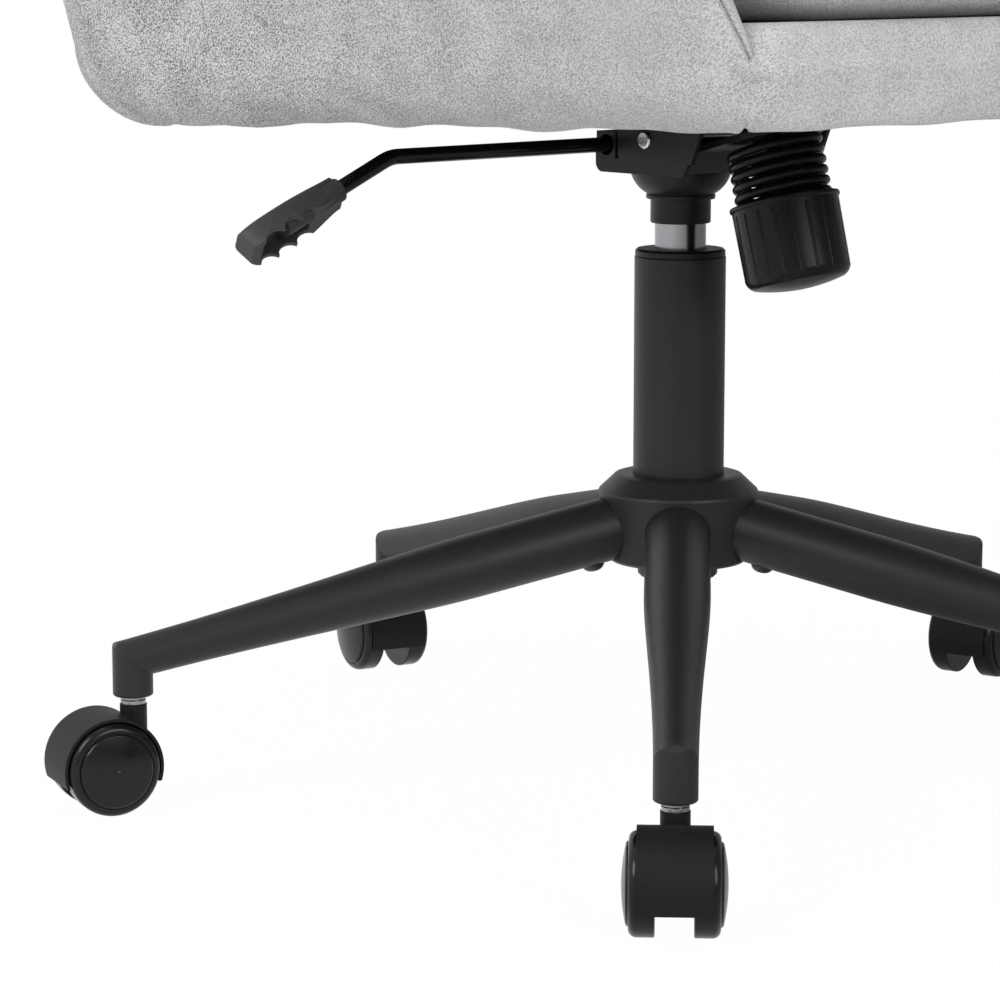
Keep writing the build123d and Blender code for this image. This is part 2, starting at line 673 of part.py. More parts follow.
def make_lever_rod():
    """Bent lever rod from over the valve pin out to the grip."""
    path = FilletPolyline((cylinder_radius - 4.0, lever_y, lever_z), (-lever_reach, lever_y, lever_z),
                          lever_point(rod_run), radius=bend_radius)
    section = Plane(origin=path @ 0, z_dir=path % 0) * Circle(lever_diameter / 2)
    finger = box(-5.5, cylinder_radius - 4.0, -5.0, lever_y, lever_z - lever_diameter / 2, lever_z)
    pin = Cylinder(lever_pin_diameter / 2, guide_size - 2 * gap)
    pin = Pos(lever_hinge_x, lever_y, lever_z) * Rot(90, 0, 0) * pin
    return one(sweep(section, path) + finger + pin)


def grip_place():
    """Frame on the grip: X outward along the rod, Y to the open side, Z its upper edge."""
    return Pos(*lever_point(grip_run)) * Rot(0, 0, 180) * Rot(0, lever_drop_deg, 0) * Rot(-grip_roll_deg, 0, 0)


def grip_section(x, scale, inset):
    """Rounded section of the grip at a station along it."""
    half, deep = grip_width / 2 * scale - inset, grip_thickness * (0.55 + 0.45 * scale) - inset
    y0 = -0.5 * grip_thickness + inset
    y1 = y0 + deep - inset
    low, high = -half - 0.1 * grip_width, half - 0.1 * grip_width
    r = 0.42 * min(half, deep)
    k = 0.293 * r
    face = face_of((y0 + r, low), (y1, low), (y1, high), (y0 + r, high),
                   ((y0 + k, high - k), (y0, high - r)), (y0, low + r), ((y0 + k, low + k), (y0 + r, low)))
    return Plane(origin=(x, 0, 0), x_dir=(0, 1, 0), z_dir=(1, 0, 0)) * face


def make_grip():
    """Plastic lever grip: solid neck, hollow finger end with scalloped rims."""
    stations = [(0.0, 0.62), (0.2, 0.78), (0.5, 1.0), (0.82, 0.96), (0.96, 0.72), (1.0, 0.55)]
    outer = loft([grip_section(f * grip_length, s, 0.0) for f, s in stations])
    inner_at = [(0.36, 0.92), (0.55, 1.0), (0.80, 0.96), (0.92, 0.78)]
    inner = loft([grip_section(f * grip_length, s, grip_wall) for f, s in inner_at])
    inner = inner + Pos(0, grip_thickness / 2, 0) * inner
    scallop = Cylinder(0.11 * grip_length, 3 * grip_width)
    notches = [Pos(f * grip_length, grip_thickness / 2 + 0.05 * grip_length, 0) * scallop for f in (0.42, 0.62, 0.82)]
    turn = Rot(grip_roll_deg, 0, 0)
    tube = turn * along_leg(-1.0, 0.62 * grip_length, lever_diameter / 2 + 2.2)
    hole = turn * along_leg(-2.0, rod_run - grip_run + gap, lever_diameter / 2 + 0.02)
    return grip_place() * one(outer - inner - notches + tube - hole)


def make_lever_guide():
    """Sliding guide that carries the lever through the box wall, with holes for the lever's cross pin."""
    size = guide_size / 2
    x0 = -box_half_width - 3.0
    body = box(x0, x0 + guide_length, lever_y - size, lever_y + size, lever_z - size, lever_z + size)
    slot = Pos(0, lever_y, lever_z) * Rot(0, 90, 0) * Cylinder(lever_diameter / 2 + lever_play, 300)
    holes = Pos(lever_hinge_x, lever_y, lever_z) * Rot(90, 0, 0) * Cylinder(lever_pin_diameter / 2 + running_fit, 60)
    return body - slot - holes


flare = math.tan(math.radians(wall_flare_deg))


def tub_stations():
    """Stations round half the tub: plan point, outward direction, rim height, wall and foot radius."""
    w, b, r = seat_half_width, seat_back, seat_corner_radius
    top = back_height
    rows = [((0.0, b), (0.0, 1.0), 1.0, wall_back), ((0.62 * (w - r), b), (0.0, 1.0), 0.985, wall_back)]
    for deg, rim in ((72, 0.935), (48, 0.825), (24, 0.725), (4, 0.655)):
        c, s = math.cos(math.radians(deg)), math.sin(math.radians(deg))
        rows.append(((w - r + r * c, b - r + r * s), (c, s), rim, wall_back + (wall_arm - wall_back) * (72 - deg) / 68))
    start, end = (w, b - r), (arm_front_half_width, front_set - seat_front)
    lean = math.atan2(start[0] - end[0], start[1] - end[1])
    for f, rim, wall in ((0.30, 0.605, 1.0), (0.55, 0.560, 0.95), (0.74, 0.500, 0.86), (0.87, 0.405, 0.76),
                         (1.0, 0.265, 0.68)):
        spot = (start[0] + f * (end[0] - start[0]), start[1] + f * (end[1] - start[1]))
        rows.append((spot, (math.cos(lean), -math.sin(lean)), rim, wall * wall_arm))
    turn = 30.0
    for deg, rim in ((32, 0.165), (58, 0.095)):
        a = lean + math.radians(deg)
        c, s = math.cos(lean) - math.cos(a), math.sin(a) - math.sin(lean)
        spot = (end[0] - turn * c, end[1] - turn * s)
        rows.append((spot, (math.cos(a), -math.sin(a)), rim, wall_tip))
    return [(p, n, rim * top, wall) for p, n, rim, wall in rows]


def tub_section(spot, out, rise, wall):
    """Upright section of the tub wall: rounded foot, leaning sides and rounded rim."""
    foot = min(wall_foot_radius, 0.5 * rise, 0.96 * wall)
    rim = 0.46 * min(wall, 0.9 * rise)
    k = 0.293
    lean = flare * (rise - rim)
    z0 = foot_z + 0.2
    inner = lean - 0.92 * wall
    pts = face_of((-wall, z0), (-foot, z0), ((-k * foot, z0 + k * foot), (0.0, z0 + foot)),
                  (lean, z0 + rise - rim),
                  ((lean - k * rim, z0 + rise - k * rim), (lean - rim, z0 + rise)),
                  (inner + rim * 0.92, z0 + rise),
                  ((inner + k * rim * 0.92, z0 + rise - k * rim), (inner, z0 + rise - rim)))
    normal = Vector(out[0], out[1], 0).cross(Vector(0, 0, 1))
    return Plane(origin=(spot[0], spot[1], 0), x_dir=(out[0], out[1], 0), z_dir=normal) * pts


def make_tub():
    """Upholstered tub: arms that sweep up into the back, as one lofted wall."""
    half = tub_stations()
    left = [((-p[0], p[1]), (-n[0], n[1]), rise, wall) for p, n, rise, wall in reversed(half[1:])]
    return tilted(one(loft([tub_section(*row) for row in left + half])))


def seat_plan(z, inset, front, side, tip, back):
    """Plan outline of the seat at a height, drawn in by an inset."""
    rb = seat_corner_radius - side - inset * 0.6
    rf = 34.0 - 0.12 * inset
    w, t, f, b = seat_half_width - side - inset, arm_front_half_width - tip - inset, front - inset, \
        seat_back - back - inset
    k = 0.293
    face = face_of((t - rf, -f), ((t - k * rf, -f + k * rf), (t, -f + rf)), (w, b - rb),
                   ((w - k * rb, b - k * rb), (w - rb, b)), (rb - w, b), ((k * rb - w, b - k * rb), (-w, b - rb)),
                   (-t, -f + rf), ((k * rf - t, -f + k * rf), (rf - t, -f)))
    return Pos(0, 0, z) * face


def make_seat_base():
    """Upholstered seat base with the front rail, inside the tub wall."""
    side, back = wall_arm + fabric_clear, wall_back + fabric_clear
    tip = wall_tip + fabric_clear + 6.0
    z0 = foot_z + cover_thickness + gap
    top = foot_z + deck_height
    rows = [(z0, 15.0), (z0 + 5.0, 5.0), (z0 + 14.0, 0.6), (z0 + 24.0, 0.0), (top - 16.0, 0.0), (top - 5.0, 1.6),
            (top, 6.5)]
    body = loft([seat_plan(z, inset, seat_front, side, tip, back) for z, inset in rows])
    well_x, well_y = board_half_x + gap, board_half_y + gap
    well = box(-well_x, well_x, seat_mid - well_y, seat_mid + well_y, z0 - 5, board_top + gap)
    body = body - well - box(-400, 400, rail_depth - seat_front, 400, foot_z - 5, seat_z + cover_thickness + gap)
    for spot in bolt_spots():
        body = body - spot * rod(bolt_diameter + 4.0, board_top - 1, board_top + 8.0)
    return one(tilted(body) - spring_frame * rod(2.4 * bolt_diameter, -bolt_top - 4.0, 0))


board_half_x = hole_pitch_x / 2 + 60.0
board_half_y = hole_pitch_y / 2 + 60.0
board_top = seat_z + cover_thickness + board_thickness


def make_board():
    """Plywood seat board with bolt and nut holes."""
    body = box(-board_half_x, board_half_x, seat_mid - board_half_y, seat_mid + board_half_y,
               seat_z + cover_thickness, board_top)
    body = fillet(body.edges().filter_by(Axis.Z), 14.0)
    radius = bolt_diameter / 2 + 1.6
    body = body - [spot * rod(radius, seat_z - 5, board_top + 5) for spot in bolt_spots()]
    return one(tilted(body) - spring_frame * rod(1.4 * bolt_diameter, -bolt_top - 20.0, 0))


def make_cover():
    """Thin black dust cover under the seat."""
    side, back = wall_foot_radius + 8.0, wall_foot_radius + 8.0
    plan = seat_plan(seat_z, 0.0, seat_front - 26.0, side, wall_tip + 26.0, back)
    body = extrude(plan, cover_thickness, dir=(0, 0, 1))
    hole = rod(bolt_diameter / 2 + 0.5, seat_z - 5, seat_z + 5)
    body = body - [spot * hole for spot in bolt_spots()]
    return one(tilted(body) - spring_frame * rod(1.3 * bolt_diameter, -bolt_top - 20.0, 0))


def make_cushion():
    """Loose seat cushion with drawn-in edges and a crowned top."""
    rise = flare * deck_height
    side, back = wall_arm - rise + 3.0, wall_back - rise + 3.0
    z0 = foot_z + deck_height + gap
    rows = [(0.0, 12.0), (0.06, 4.0), (0.18, 0.6), (0.36, 0.0), (0.52, 1.5), (0.66, 7.0), (0.77, 18.0), (0.86, 38.0),
            (0.93, 68.0), (0.98, 110.0), (1.0, 150.0)]
    body = loft([seat_plan(z0 + f * cushion_height, inset, seat_front - 3.0, side, wall_tip + 5.0, back)
                 for f, inset in rows])
    return tilted(one(body))


def save(name, shape):
    """Write one node."""
    solids = shape if isinstance(shape, list) else [shape]
    pieces = [solid for item in solids for solid in item.solids()]
    export_step(pieces[0] if len(pieces) == 1 else Compound(children=pieces), "parts/%s.step" % name)


def main():
    """Build every node."""
    legs = range(leg_count)
    save("base_hub", make_hub())
    for i in legs:
        save("leg_%d" % (i + 1), make_leg(i))
    save("leg_bolts", make_leg_bolts())
    save("caster_stems", [make_stem(i) for i in legs])
    save("stem_grip_rings", [make_grip_ring(i) for i in legs])
    for i in legs:
        save("caster_hood_%d" % (i + 1), make_hood(i))
        save("caster_axle_%d" % (i + 1), make_axle(i))
        save("wheel_%d_left" % (i + 1), make_wheel(i, 1))
        save("wheel_%d_right" % (i + 1), make_wheel(i, -1))
    single = {
        "column_tube": make_column_tube, "column_bush": make_column_bush, "bearing_lower_race": make_lower_race,
        "bearing_balls": make_balls, "bearing_upper_race": make_upper_race, "piston_rod": make_piston_rod,
        "rod_clip": make_rod_clip, "gas_piston": make_piston, "gas_cylinder": make_cylinder,
        "cylinder_seal": make_seal, "release_pin": make_release_pin, "taper_cone": make_cone,
        "tilt_box": make_tilt_box, "tilt_axle": make_axle_pin, "seat_plate": make_seat_plate,
        "seat_bolts": make_seat_bolts, "seat_nuts": make_seat_nuts, "tension_bolt": make_tension_bolt,
        "spring_washer": make_washer, "tension_spring": make_spring, "knob_nut": make_knob_nut,
        "tension_knob": make_knob, "lever_rod": make_lever_rod, "lever_grip": make_grip,
        "lever_guide": make_lever_guide, "tub_shell": make_tub, "seat_base": make_seat_base,
        "seat_board": make_board, "dust_cover": make_cover, "seat_cushion": make_cushion,
    }
    for name, maker in single.items():
        save(name, maker())


main()
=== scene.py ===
"""Swivel tub chair: finishes, upholstery, spring, light and camera around the fixed frame.

Metres. The origin is on the floor under the column, +Z is up and the sitter faces -Y.
"""
import json
import logging
import math
from dataclasses import dataclass
from enum import Enum
from typing import Sequence

import bmesh
import bpy
import numpy as np
from mathutils import Matrix, Vector, noise


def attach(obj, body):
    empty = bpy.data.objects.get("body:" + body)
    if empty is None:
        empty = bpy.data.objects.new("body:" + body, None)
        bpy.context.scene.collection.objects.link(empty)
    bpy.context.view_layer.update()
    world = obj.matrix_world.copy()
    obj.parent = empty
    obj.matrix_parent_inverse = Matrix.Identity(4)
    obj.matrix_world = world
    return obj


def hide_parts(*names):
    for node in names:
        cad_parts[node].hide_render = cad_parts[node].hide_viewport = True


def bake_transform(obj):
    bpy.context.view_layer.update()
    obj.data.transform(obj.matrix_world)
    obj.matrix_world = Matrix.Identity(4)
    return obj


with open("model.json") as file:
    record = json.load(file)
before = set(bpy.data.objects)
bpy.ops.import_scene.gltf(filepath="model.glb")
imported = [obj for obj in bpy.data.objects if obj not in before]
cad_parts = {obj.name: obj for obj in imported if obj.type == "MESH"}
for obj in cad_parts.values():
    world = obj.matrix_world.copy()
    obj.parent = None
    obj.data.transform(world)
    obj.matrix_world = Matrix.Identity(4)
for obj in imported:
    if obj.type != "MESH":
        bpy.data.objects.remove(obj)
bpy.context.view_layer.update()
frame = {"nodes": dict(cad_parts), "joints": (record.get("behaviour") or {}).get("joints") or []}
log = logging.getLogger("tub_chair")

Array = np.ndarray
Colour = tuple[float, float, float]
Pair = tuple[float, float]
Piece = bpy.types.Object
Socket = bpy.types.NodeSocket
FLOAT, VECTOR = "NodeSocketFloat", "NodeSocketVector"
UNIT = (0.0, 1.0)
NOISE_RANGE = (0.3, 0.7)  # where most noise values lie
SEED_SKEW = 0.37


class Body(Enum):
    """Moving bodies that the new pieces ride on."""

    LIFT = "lift"
    SEAT = "seat"


class Grain(Enum):
    """Grain of a hard surface, by how many times finer it is along the height."""

    EVEN = 1.0
    TURNED = 25.0


def joint(name: str) -> dict:
    """The frame's row for the joint of that name."""
    return next(row for row in frame["joints"] if row["name"] == name)


@dataclass
class Board:
    """A node tree with short calls to add and wire its nodes."""

    tree: bpy.types.NodeTree

    def feed(self, node: bpy.types.Node, inputs: dict) -> None:
        """Set or wire a node's inputs.

        Args:
            node: Node to feed.
            inputs: Socket name or number to a value, or to the socket that feeds it.
        """
        for key, value in inputs.items():
            if isinstance(value, Socket):
                self.tree.links.new(value, node.inputs[key])
            else:
                node.inputs[key].default_value = value

    def add(self, kind: str, inputs: dict | None = None, **settings: object) -> bpy.types.Node:
        """Add a node.

        Args:
            kind: Node type.
            inputs: What to feed it.
            settings: Plain settings of the node.

        Returns:
            The new node.
        """
        node = self.tree.nodes.new(kind)
        for key, value in settings.items():
            setattr(node, key, value)
        self.feed(node, inputs or {})
        return node

    def place(self) -> Socket:
        """Add the object's own coordinates."""
        return self.add("ShaderNodeTexCoord").outputs["Object"]

    def math(self, operation: str, *values: object) -> Socket:
        """Add a Math node for numbers or sockets."""
        return self.add("ShaderNodeMath", dict(enumerate(values)), operation=operation).outputs[0]

    def vector(self, operation: str, *values: object) -> Socket:
        """Add a Vector Math node; a dot product or a length gives a number."""
        node = self.add("ShaderNodeVectorMath", dict(enumerate(values)), operation=operation)
        return node.outputs[1 if operation in ("DOT_PRODUCT", "LENGTH") else 0]

    def noise(self, vector: Socket, scale: object, detail: float, rough: float = 0.5,
              distortion: float = 0.0) -> Socket:
        """Add noise with scale cells per metre and detail octaves; rough weighs the finer ones."""
        inputs = {"Vector": vector, "Scale": scale, "Detail": detail, "Roughness": rough,
                  "Distortion": distortion}
        return self.add("ShaderNodeTexNoise", inputs).outputs[0]

    def spread(self, value: Socket, given: Pair, wanted: tuple = UNIT) -> Socket:
        """Map the given range of values onto the wanted one, clamped."""
        inputs = dict(enumerate((value, *given, *wanted)))
        return self.add("ShaderNodeMapRange", inputs).outputs[0]

    def mix(self, factor: Socket, first: object, second: object) -> Socket:
        """Mix two colours or sockets, by a factor that is the share of the second."""
        ends = [end if isinstance(end, Socket) else (*end, 1.0) for end in (first, second)]
        inputs = dict(zip((0, 6, 7), (factor, *ends)))
        return self.add("ShaderNodeMix", inputs, data_type="RGBA").outputs[2]


def new_group(name: str, inputs: Sequence[str], outputs: dict[str, str]) -> tuple:
    """Start a shader node group.

    Args:
        name: Group name.
        inputs: Names of its inputs, which are all numbers.
        outputs: Output names with their socket types.

    Returns:
        The group's board, the sockets that its inputs come from and its output node.
    """
    tree = bpy.data.node_groups.new(name, "ShaderNodeTree")
    for label in inputs:
        tree.interface.new_socket(label, in_out="INPUT", socket_type=FLOAT)
    for label, kind in outputs.items():
        tree.interface.new_socket(label, in_out="OUTPUT", socket_type=kind)
    board = Board(tree)
    return board, board.add("NodeGroupInput").outputs, board.add("NodeGroupOutput")


@dataclass(frozen=True)
class SurfaceGrain:
    """Fine grain, slow clouding and a rounded edge normal, for the hard finishes."""

    cloud_scale: float = 38.0
    edge_samples: int = 4

    def group(self) -> bpy.types.NodeTree:
        """Make the node group.

        Returns:
            The group, with outputs Grain, Cloud and Edge Normal.
        """
        board, given, made = new_group("surface_grain", ("Scale", "Stretch", "Edge"),
                                       {"Grain": FLOAT, "Cloud": FLOAT, "Edge Normal": VECTOR})
        place = board.place()
        stretch = board.add("ShaderNodeCombineXYZ", {0: 1.0, 1: 1.0, 2: given["Stretch"]})
        drawn = board.vector("MULTIPLY", place, stretch.outputs[0])
        edge = board.add("ShaderNodeBevel", {"Radius": given["Edge"]}, samples=self.edge_samples)
        board.feed(made, {
            "Grain": board.noise(drawn, given["Scale"], detail=2.0, rough=0.6),
            "Cloud": board.noise(place, self.cloud_scale, detail=3.0),
            "Edge Normal": edge.outputs[0]})
        return board.tree


@dataclass(frozen=True)
class Heather:
    """Heathered yarn: mottled loops, slow clouding and short slanting dark strokes.

    The strokes fade towards the front, and a painted shade darkens the cloth towards the front.
    """

    stroke_axes: tuple = ((0.62, -0.62, 0.36), (-0.78, 0.78, 1.32), (1.0, 1.0, 0.0))
    yarn_range: Pair = (0.34, 0.66)
    patch_scale: float = 40.0
    cloud_scale: float = 26.0
    stroke_level: Pair = (0.545, 0.495)
    stroke_edge: Pair = (-0.03, 0.06)
    stroke_depth: float = 0.8
    fade_y: Pair = (-0.24, 0.16)
    fade: Pair = (0.45, 1.0)
    # painted shade: brightness of the cloth at the front and at the back
    tone: Pair = (0.76, 0.99)

    def group(self) -> bpy.types.NodeTree:
        """Make the node group.

        Returns:
            The group, with outputs Yarn, Fleck, Cloud, Tone and Height.
        """
        made_names = ("Yarn", "Fleck", "Cloud", "Tone", "Height")
        board, given, made = new_group("heather_weave", ("Thread Scale", "Fleck Scale"),
                                       dict.fromkeys(made_names, FLOAT))
        place = board.place()
        lines = [board.vector("DOT_PRODUCT", place, axis) for axis in self.stroke_axes]
        slant = board.add("ShaderNodeCombineXYZ", dict(enumerate(lines))).outputs[0]
        loops = board.noise(place, given["Thread Scale"], detail=2.0, rough=0.6, distortion=0.4)
        yarn = board.spread(loops, self.yarn_range)
        stroke = board.noise(slant, given["Fleck Scale"], detail=2.0, rough=0.6, distortion=0.3)
        patch = board.noise(place, self.patch_scale, detail=2.0)
        level = board.spread(patch, NOISE_RANGE, self.stroke_level)
        fleck = board.spread(board.math("SUBTRACT", stroke, level), self.stroke_edge)
        along = board.add("ShaderNodeSeparateXYZ", {0: place}).outputs["Y"]
        rear = board.spread(along, self.fade_y)
        faded = board.math("MULTIPLY", fleck, board.spread(rear, UNIT, self.fade))
        sunk = board.math("MULTIPLY", faded, self.stroke_depth)
        board.feed(made, {
            "Yarn": yarn, "Fleck": faded,
            "Cloud": board.noise(place, self.cloud_scale, detail=3.0, rough=0.6, distortion=0.6),
            # painted shade: the cloth darker towards the front
            "Tone": board.spread(board.math("MULTIPLY", rear, rear), UNIT, self.tone),
            "Height": board.math("SUBTRACT", yarn, sunk)})
        return board.tree


GROUPS = {"grain": SurfaceGrain().group(), "heather": Heather().group()}


def new_material(slot: str) -> tuple[bpy.types.Material, Board, bpy.types.Node]:
    """Start a material on the Principled shader.

    Args:
        slot: Slot name, which ends the material's name.

    Returns:
        The material, its board and its shader.
    """
    material = bpy.data.materials.new("finish_" + slot)
    material.use_nodes = True
    board = Board(material.node_tree)
    return material, board, material.node_tree.nodes["Principled BSDF"]


@dataclass(frozen=True)
class HardFinish:
    """Paint, plastic or metal with a fine grain and softened edges."""

    slot: str
    colour: Colour
    roughness: float
    grain: Grain = Grain.EVEN
    metallic: float = 0.0
    specular: float = 0.5
    scale: float = 1500.0
    relief: float = 0.00003
    roughness_spread: float = 0.06
    mottle: float = 0.12
    edge: float = 0.0006
    coat: float = 0.0

    def material(self) -> bpy.types.Material:
        """Make the material.

        Returns:
            The finished material.
        """
        material, board, shader = new_material(self.slot)
        grain = {"Scale": self.scale, "Stretch": self.grain.value, "Edge": self.edge}
        made = board.add("ShaderNodeGroup", grain, node_tree=GROUPS["grain"]).outputs
        dark = tuple(c * (1.0 - self.mottle) for c in self.colour)
        light = tuple(c * (1.0 + self.mottle) for c in self.colour)
        sheen = (self.roughness - self.roughness_spread, self.roughness + self.roughness_spread)
        bump = board.add("ShaderNodeBump", {
            "Strength": 1.0, "Distance": self.relief, "Height": made["Grain"],
            "Normal": made["Edge Normal"]})
        board.feed(shader, {
            "Base Color": board.mix(made["Cloud"], dark, light),
            "Roughness": board.spread(made["Grain"], NOISE_RANGE, sheen),
            "Normal": bump.outputs[0], "Metallic": self.metallic,
            "Specular IOR Level": self.specular, "Coat Weight": self.coat})
        return material


@dataclass(frozen=True)
class FabricFinish:
    """Heathered upholstery cloth with a soft pile sheen, darker towards the front as painted
    shade.
    """

    slot: str
    light: Colour
    dark: Colour
    fleck: Colour
    relief: float = 0.0006
    thread_scale: float = 1150.0
    fleck_scale: float = 900.0
    cloud: Pair = (0.94, 1.05)
    roughness: float = 0.92
    specular: float = 0.2
    sheen: float = 0.12
    sheen_roughness: float = 0.6

    def material(self) -> bpy.types.Material:
        """Make the material.

        Returns:
            The finished material.
        """
        material, board, shader = new_material(self.slot)
        scales = {"Thread Scale": self.thread_scale, "Fleck Scale": self.fleck_scale}
        made = board.add("ShaderNodeGroup", scales, node_tree=GROUPS["heather"]).outputs
        cloth = board.mix(made["Yarn"], self.dark, self.light)
        cloud = board.spread(made["Cloud"], NOISE_RANGE, self.cloud)
        # the cloud is random clouding; the other factor is painted shade, darker towards the front
        cloud_and_shade = board.math("MULTIPLY", cloud, made["Tone"])
        shaded_cloth = board.add("ShaderNodeVectorMath", {0: cloth, "Scale": cloud_and_shade}, operation="SCALE")
        bump = board.add("ShaderNodeBump", {
            "Strength": 1.0, "Distance": self.relief, "Height": made["Height"]})
        board.feed(shader, {
            "Base Color": board.mix(made["Fleck"], shaded_cloth.outputs[0], self.fleck),
            "Normal": bump.outputs[0], "Roughness": self.roughness,
            "Specular IOR Level": self.specular, "Sheen Weight": self.sheen,
            "Sheen Roughness": self.sheen_roughness})
        return material


@dataclass(frozen=True)
class PlyFinish:
    """Sanded plywood with drawn-out grain."""

    slot: str
    pale: Colour
    deep: Colour
    draw: Colour = (1.0, 0.07, 1.0)
    scale: float = 240.0
    figure: Pair = (0.35, 0.65)
    roughness: Pair = (0.55, 0.72)

    def material(self) -> bpy.types.Material:
        """Make the material.

        Returns:
            The finished material.
        """
        material, board, shader = new_material(self.slot)
        drawn = board.vector("MULTIPLY", board.place(), self.draw)
        grain = board.noise(drawn, self.scale, detail=4.0, rough=0.6, distortion=0.8)
        board.feed(shader, {
            "Base Color": board.mix(board.spread(grain, self.figure), self.deep, self.pale),
            "Roughness": board.spread(grain, NOISE_RANGE, self.roughness)})
        return material


FINISHES = (
    HardFinish("powder_black", (0.017, 0.017, 0.018), 0.42, specular=0.28, scale=1900.0,
               relief=0.00005),
    HardFinish("mechanism_black", (0.011, 0.011, 0.012), 0.38, specular=0.25, scale=1300.0,
               relief=0.00004),
    HardFinish("hood_plastic", (0.010, 0.010, 0.011), 0.48, specular=0.14, scale=2300.0,
               relief=0.00007),
    HardFinish("wheel_plastic", (0.007, 0.007, 0.0075), 0.18, specular=0.26, scale=700.0,
               relief=0.00001, roughness_spread=0.04),
    HardFinish("bush_plastic", (0.010, 0.010, 0.011), 0.42, specular=0.25),
    HardFinish("grip_plastic", (0.034, 0.034, 0.036), 0.50, specular=0.35, scale=1700.0,
               relief=0.00005, edge=0.001),
    HardFinish("knob_plastic", (0.007, 0.007, 0.0075), 0.30, specular=0.20, scale=1600.0,
               relief=0.00002),
    HardFinish("lever_black", (0.004, 0.004, 0.0045), 0.20, specular=0.12, scale=900.0,
               relief=0.00001, coat=0.5),
    HardFinish("spring_black", (0.004, 0.004, 0.0045), 0.30, specular=0.18, scale=900.0,
               relief=0.00002),
    HardFinish("fastener", (0.06, 0.06, 0.065), 0.40, metallic=1.0, scale=1200.0),
    HardFinish("bright_steel", (0.33, 0.33, 0.345), 0.18, Grain.TURNED, metallic=1.0, scale=60.0,
               relief=0.000004, roughness_spread=0.04, mottle=0.03),
    HardFinish("steel", (0.72, 0.72, 0.73), 0.22, Grain.TURNED, metallic=1.0, scale=80.0,
               relief=0.000006),
    HardFinish("seal_rubber", (0.03, 0.03, 0.03), 0.70),
    HardFinish("cover_black", (0.016, 0.016, 0.017), 0.85, specular=0.2, scale=1400.0,
               relief=0.0003),
    FabricFinish("fabric_grey", light=(0.97, 0.97, 0.98), dark=(0.78, 0.78, 0.795),
                 fleck=(0.06, 0.06, 0.064)),
    PlyFinish("plywood", pale=(0.62, 0.47, 0.31), deep=(0.42, 0.28, 0.16)),
)
MATERIALS = {finish.slot: finish.material() for finish in FINISHES}


def dress(piece: Piece, slot: str) -> None:
    """Give a piece the one material of a slot.

    Args:
        piece: Object to dress.
        slot: Slot name.
    """
    if not piece.material_slots:
        piece.data.materials.append(MATERIALS[slot])
    for place in piece.material_slots:
        place.material = MATERIALS[slot]


def new_piece(name: str, points: Sequence, faces: Sequence) -> Piece:
    """Make a smooth mesh object with its faces turned outward.

    Args:
        name: Piece name.
        points: Vertex positions.
        faces: Vertex numbers of each face.

    Returns:
        The linked object.
    """
    mesh = bpy.data.meshes.new(name)
    mesh.from_pydata([tuple(p) for p in points], [], [tuple(f) for f in faces])
    shell = bmesh.new()
    shell.from_mesh(mesh)
    bmesh.ops.recalc_face_normals(shell, faces=shell.faces)
    shell.to_mesh(mesh)
    shell.free()
    mesh.shade_smooth()
    piece = bpy.data.objects.new(name, mesh)
    bpy.context.scene.collection.objects.link(piece)
    return piece


def modify(piece: Piece, kind: str, **settings: object) -> None:
    """Replace a piece's mesh by the result of one modifier.

    Args:
        piece: Piece to change.
        kind: Modifier type.
        settings: Settings of the modifier.
    """
    modifier = piece.modifiers.new(kind, kind)
    for key, value in settings.items():
        setattr(modifier, key, value)
    shaped = piece.evaluated_get(bpy.context.evaluated_depsgraph_get())
    mesh = bpy.data.meshes.new_from_object(shaped)
    piece.modifiers.clear()
    piece.data = mesh


def read_points(piece: Piece, field: str = "co") -> Array:
    """Positions of a piece's points, or another field of theirs, one a row."""
    return np.array([getattr(v, field) for v in piece.data.vertices])


def move_points(piece: Piece, points: Array) -> None:
    """Give a piece's points new positions, one a row."""
    piece.data.vertices.foreach_set("co", points.ravel())


def band_faces(rows: int, columns: int) -> list[tuple[int, ...]]:
    """Quads between closed rows of points.

    Args:
        rows: Number of rows.
        columns: Points in a row.

    Returns:
        Vertex numbers of each quad.
    """
    faces = []
    for low in range(0, (rows - 1) * columns, columns):
        high = low + columns
        for c in range(columns):
            ahead = (c + 1) % columns
            faces.append((low + c, low + ahead, high + ahead, high + c))
    return faces


def fan_faces(first: int, columns: int, tip: int) -> list[tuple[int, ...]]:
    """Triangles to a tip from the ring of points that starts at number first."""
    return [(first + c, first + (c + 1) % columns, tip) for c in range(columns)]


def capped_faces(rows: int, columns: int) -> list[tuple[int, ...]]:
    """Quads between closed rows, and fans to two tips that are numbered after the rows."""
    count = rows * columns
    return (band_faces(rows, columns) + fan_faces(0, columns, count)
            + fan_faces(count - columns, columns, count + 1))


def even_steps(start: float, end: float, count: int) -> Array:
    """Values after each of a count of even steps from start to end."""
    return np.linspace(start, end, count + 1)[1:]


def arc_points(centre: Pair, radii: Pair, start: float, end: float, count: int) -> Array:
    """Points on an elliptical arc after each even step from one angle in degrees to another."""
    angles = np.radians(even_steps(start, end, count))
    return np.column_stack((centre[0] + radii[0] * np.cos(angles),
                            centre[1] + radii[1] * np.sin(angles)))


def resample(points: Array, count: int) -> Array:
    """Spread points evenly along a closed outline.

    Args:
        points: Outline whose last point meets its first.
        count: Points wanted.

    Returns:
        The new points.
    """
    lengths = np.linalg.norm(np.diff(points, axis=0), axis=1)
    along = np.concatenate(([0.0], np.cumsum(lengths)))
    wanted = np.linspace(0.0, along[-1], count, endpoint=False)
    return np.column_stack([np.interp(wanted, along, points[:, k]) for k in range(2)])


